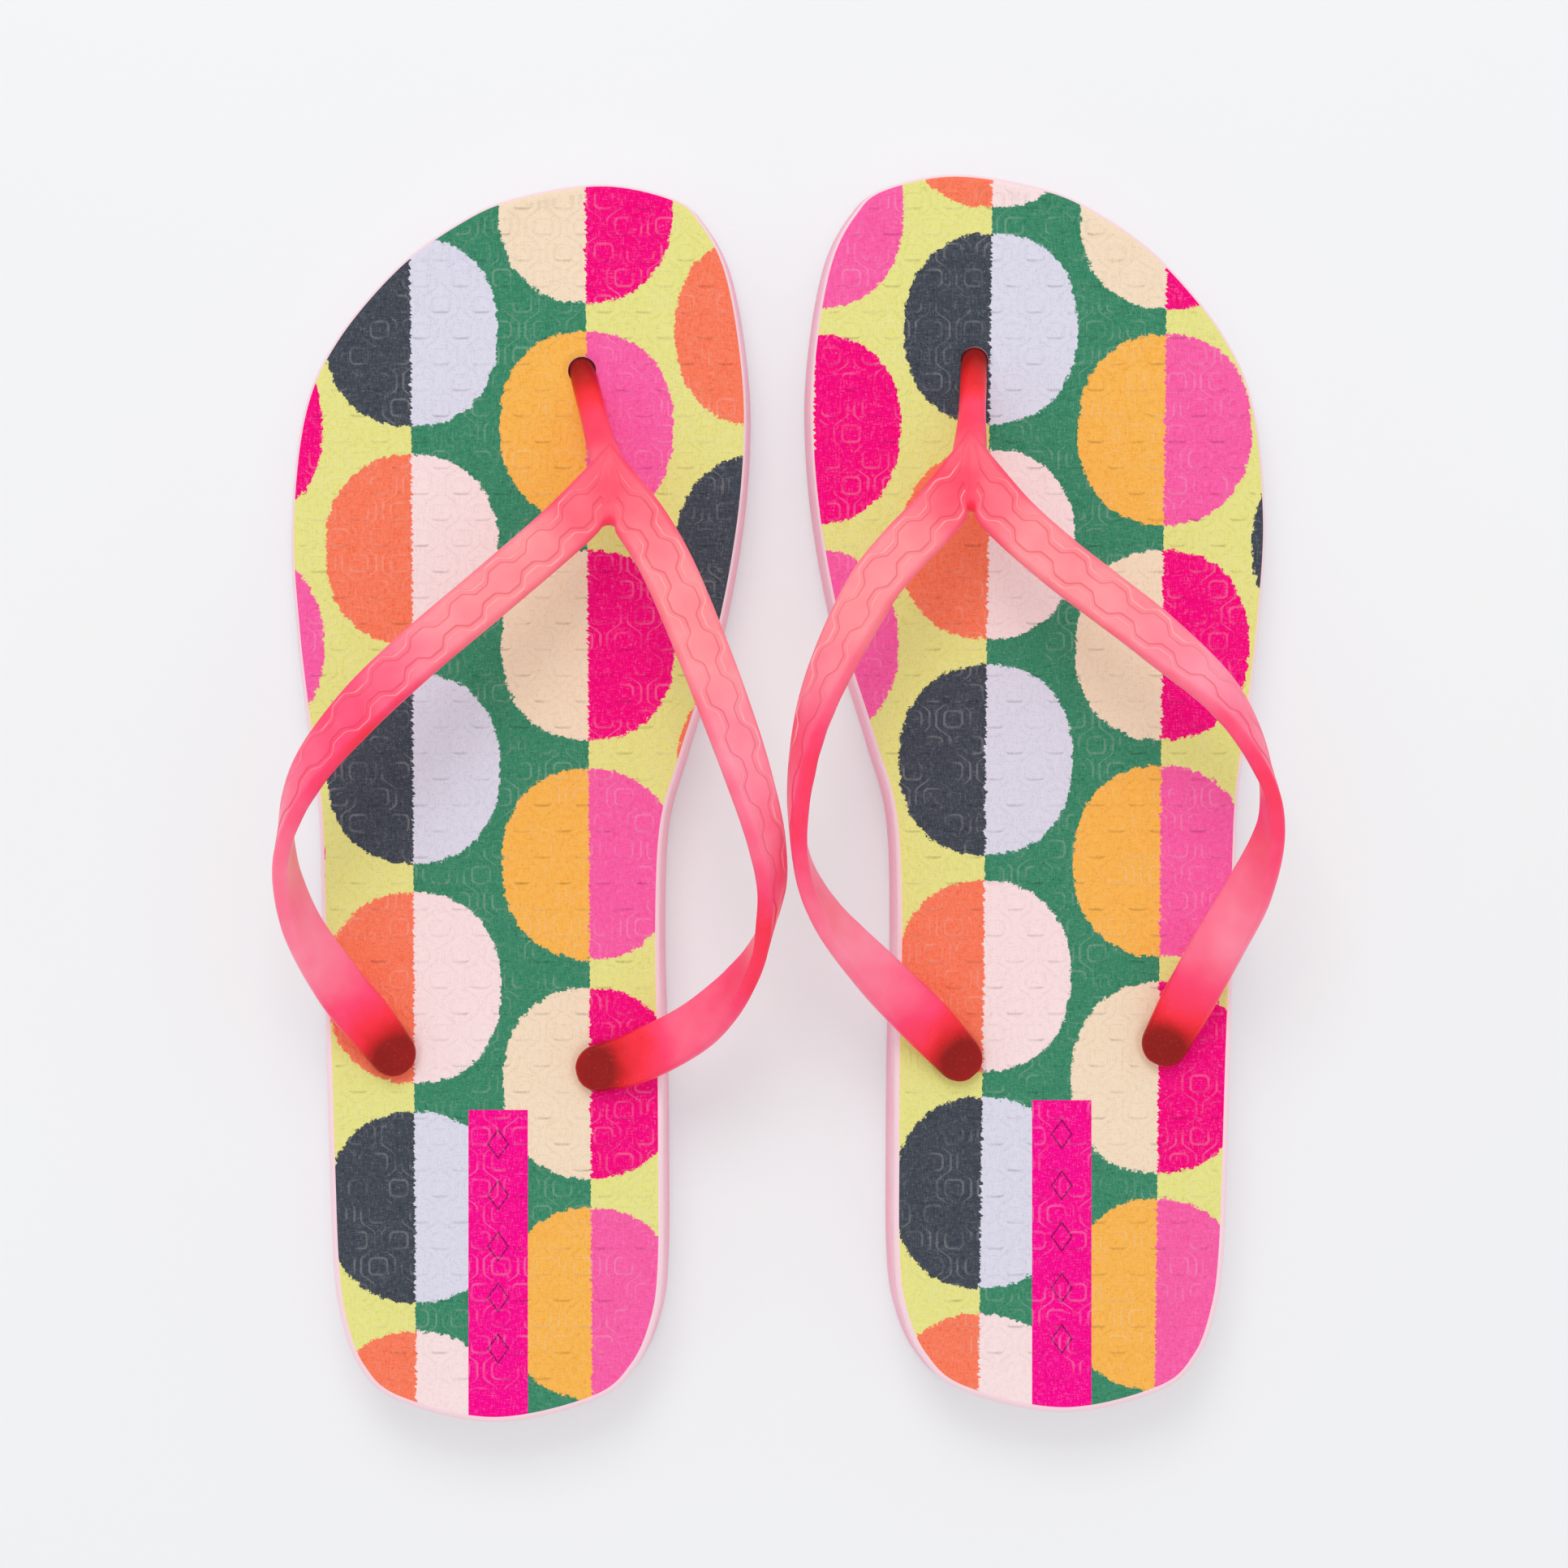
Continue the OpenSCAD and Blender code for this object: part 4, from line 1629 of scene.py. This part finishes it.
    def build_plug(self, name: str, place: tuple[float, float], top: float | None,
                   coat: bpy.types.Material) -> bpy.types.Object:
        """Makes a disc under the sole, with the stem above it where the stem stands upright.

        Args:
            name: The piece's name.
            place: The place of its axis.
            top: The height of the stem's shoulder, or None for a disc alone.
            coat: The strap's material.

        Returns:
            The piece.
        """
        low, high, wide = self.disc_top - self.disc_thickness, self.disc_top - self.slack, self.disc_radius
        dimple = [(0, low + 0.5), (2.6, low + 0.5), (3.0, low)]
        groove = [(6.4, low), (6.6, low + 0.3), (7.2, low + 0.3), (7.4, low)]
        hem = [(wide - 0.6, low), (wide - 0.18, low + 0.2), (wide, low + 0.6), (wide, high - 0.5),
               (wide - 0.3, high)]
        profile = [*dimple, *groove, *hem]
        if top is None:
            profile += [(0, high)]
        else:
            stem = self.stem_radius
            profile += [(stem, high), (stem, top)]
            turns = np.radians([20, 40, 60, 80])
            profile += [(stem * math.cos(a), top + self.dome * math.sin(a)) for a in turns]
            profile += [(0, top + self.dome)]
        work = lathed(profile, place, 72)
        # Painted shade: the stem is made darker from 10 mm up, where it stands in its hole under the tab.
        painted_shading = work.verts.layers.float.new("painted_shading")
        for vertex in work.verts:
            vertex[painted_shading] = 0.6 + 0.35 * float(ramp(vertex.co.z, 10, 16))
        return finish_piece(work, name, self.stance, [coat], "strap")

    def build(self, effects: Effects) -> list[bpy.types.Object]:
        """Makes the strap's pieces.

        Args:
            effects: The shared shader groups.

        Returns:
            The pieces.
        """
        coat = self.plastic.make(effects)
        shoulder = float(self.stance.top(self.holes.outer[1])) + 0.6
        return [
            self.build_arms(coat),
            self.build_post(coat),
            self.build_plug("toe_disc", self.holes.toe, None, coat),
            self.build_plug("outer_plug", self.holes.outer, shoulder, coat),
            self.build_plug("inner_plug", self.holes.inner, shoulder, coat),
        ]


@dataclass(frozen=True)
class Sandal:
    """One sandal of the pair: sole, footbed and strap."""

    stance: Stance
    sheet: PrintedSheet
    outer: Arm
    inner: Arm
    outline: Outline = field(default_factory=Outline)
    holes: Holes = field(default_factory=Holes)

    def build(self, effects: Effects) -> list[bpy.types.Object]:
        """Makes the sandal's pieces.

        Args:
            effects: The shared shader groups.

        Returns:
            The pieces.
        """
        foot = self.stance.foot.value
        foam = PinkFoam(f"{foot}_foam", 0.72)
        rim = PinkFoam(f"{foot}_rim", 0.6, pale=Ink.RIM, deep=Ink.FOAM)
        plastic = CoralPlastic(f"{foot}_coral", 0.34, 0.16)
        sole = Sole(self.stance, self.outline, self.holes, foam).build(effects)
        footbed = Footbed(self.stance, self.outline, self.holes, self.sheet, rim).build(effects)
        strap = Strap(self.stance, self.holes, self.outer, self.inner, plastic)
        return [sole, footbed, *strap.build(effects)]


# ---------- Studio ----------


@dataclass(frozen=True)
class Studio:
    """The floor, the light and the camera."""

    camera_place: tuple[float, float, float] = (-0.01545, 0.0027, 1.0)
    lens: float = 109.85
    sensor: float = 36.0
    shift_x: float = 0.0523
    clip: tuple[float, float] = (0.05, 20.0)
    floor_half: float = 3.0
    sky: float = 0.84
    sky_colour: Colour = (0.985, 0.985, 1.0, 1.0)
    key_power: float = 8.5
    key_place: tuple[float, float, float] = (-0.25, 1.2, 1.75)
    key_size: float = 1.0

    def build(self, effects: Effects) -> None:
        """Sets up the floor, the light and the camera.

        Args:
            effects: The shared shader groups.
        """
        scene = bpy.context.scene
        self.lay_floor(scene, effects)
        self.hang_lights(scene)
        self.place_camera(scene)
        scene.view_settings.view_transform = "Standard"

    def lay_floor(self, scene: bpy.types.Scene, effects: Effects) -> None:
        """Lays the floor that the sandals stand on."""
        work = bmesh.new()
        bmesh.ops.create_grid(work, x_segments=1, y_segments=1, size=self.floor_half)
        mesh = bpy.data.meshes.new("floor")
        work.to_mesh(mesh)
        work.free()
        mesh.materials.append(PaleFloor("pale_floor", 0.8, 0.15).make(effects))
        floor = bpy.data.objects.new("floor", mesh)
        scene.collection.objects.link(floor)

    def hang_lights(self, scene: bpy.types.Scene) -> None:
        """Sets the soft sky all round and one large lamp beyond the toes."""
        world = bpy.data.worlds.new("soft_sky")
        world.use_nodes = True
        background = world.node_tree.nodes["Background"]
        background.inputs["Color"].default_value = self.sky_colour
        background.inputs["Strength"].default_value = self.sky
        scene.world = world
        light = bpy.data.lights.new("key", "AREA")
        light.energy, light.size = self.key_power, self.key_size
        lamp = bpy.data.objects.new("key", light)
        lamp.location = self.key_place
        lamp.rotation_euler = (-lamp.location).to_track_quat("-Z", "Y").to_euler()
        scene.collection.objects.link(lamp)

    def place_camera(self, scene: bpy.types.Scene) -> None:
        """Sets the camera straight above the pair, looking down."""
        lens = bpy.data.cameras.new("view")
        lens.lens, lens.sensor_width, lens.shift_x = self.lens, self.sensor, self.shift_x
        lens.clip_start, lens.clip_end = self.clip
        camera = bpy.data.objects.new("view", lens)
        camera.location = self.camera_place
        scene.collection.objects.link(camera)
        scene.camera = camera


# Each arm's route: x, y and height above the ground, and the band's turn in degrees, from the join to the hole.
LEFT_OUTER = (
    (22.6, 65.5, 30, 0), (13.5, 55.5, 34, 4), (-0.5, 43, 38, 8), (-15, 30.5, 41, 14),
    (-28, 18, 42.5, 28), (-38.5, 4.5, 41.5, 56), (-42.9, -9.5, 37.5, 92), (-40.5, -23.5, 31, 122),
    (-33, -37, 25, 152), (-26.5, -45.5, 21.8, 172), (-22, -51.5, 20.2, 180))
LEFT_INNER = (
    (22.6, 65.5, 30, 0), (29, 56.5, 34, 4), (34.7, 46.5, 37, 8), (41.2, 31, 40, 14),
    (46.3, 17.5, 42, 24), (50.8, 4.5, 42.5, 38), (54.4, -8.5, 41, 56), (55.2, -19.5, 37.5, 74),
    (51.5, -32.5, 32, 104), (41.5, -44.5, 25.5, 148), (28.5, -52, 21.5, 174), (20, -54.5, 20.2, 180))
RIGHT_OUTER = (
    (18.4, 66.5, 30, 0), (11.5, 56.5, 34, 4), (1.5, 47, 37, 8), (-8.5, 39, 39.5, 12),
    (-18.5, 31, 41.5, 20), (-32, 18.5, 43, 50), (-39.8, 4.5, 42, 80), (-41.7, -7, 38.5, 102),
    (-38, -19.5, 33, 138), (-32.5, -30.5, 28, 162), (-26.5, -42.5, 22.8, 176), (-22, -51.5, 20.2, 180))
RIGHT_INNER = (
    (18.4, 66.5, 30, 0), (25.2, 56.5, 34, 5), (32.6, 48.5, 37, 10), (38.9, 40.5, 39, 20),
    (47.3, 24, 42, 46), (51.9, 10, 43, 68), (53.6, -4, 41.5, 84), (52.3, -15.5, 38, 98),
    (47.2, -25.5, 33.5, 120), (37, -37, 27, 150), (27, -47, 22.4, 176), (20, -54.5, 20.2, 180))


def pair_of_sandals() -> tuple[Sandal, Sandal]:
    """The left and the right sandal, with the print where it falls on each."""
    left = Sandal(
        Stance(Foot.LEFT, -56.7, -1.0),
        PrintedSheet("left_print", 0.66, 0.06, axis=-56.7, origin_x=-74.9, even_y=5.9, odd_y=31.3, lean=-0.0062,
                     row=45.05, label_middle=-57.3, label_top=-64.2),
        Arm(1, LEFT_OUTER, 0.47), Arm(-1, LEFT_INNER, 0.66))
    right = Sandal(
        Stance(Foot.RIGHT, 57.3, 1.0),
        PrintedSheet("right_print", 0.66, 0.06, axis=57.3, origin_x=42.85, even_y=7.7, odd_y=31.3, lean=0.0125,
                     row=44.45, label_middle=58.4, label_top=-62.2),
        Arm(1, RIGHT_OUTER, 0.58), Arm(-1, RIGHT_INNER, 0.5))
    return left, right


def main() -> None:
    """Builds the pair and the studio."""
    logging.basicConfig(level=logging.INFO, format="%(message)s")
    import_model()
    effects = Effects()
    for sandal in pair_of_sandals():
        pieces = sandal.build(effects)
        LOG.info("%s sandal: %d pieces", sandal.stance.foot.value, len(pieces))
    Studio().build(effects)


if __name__ == "__main__":
    main()
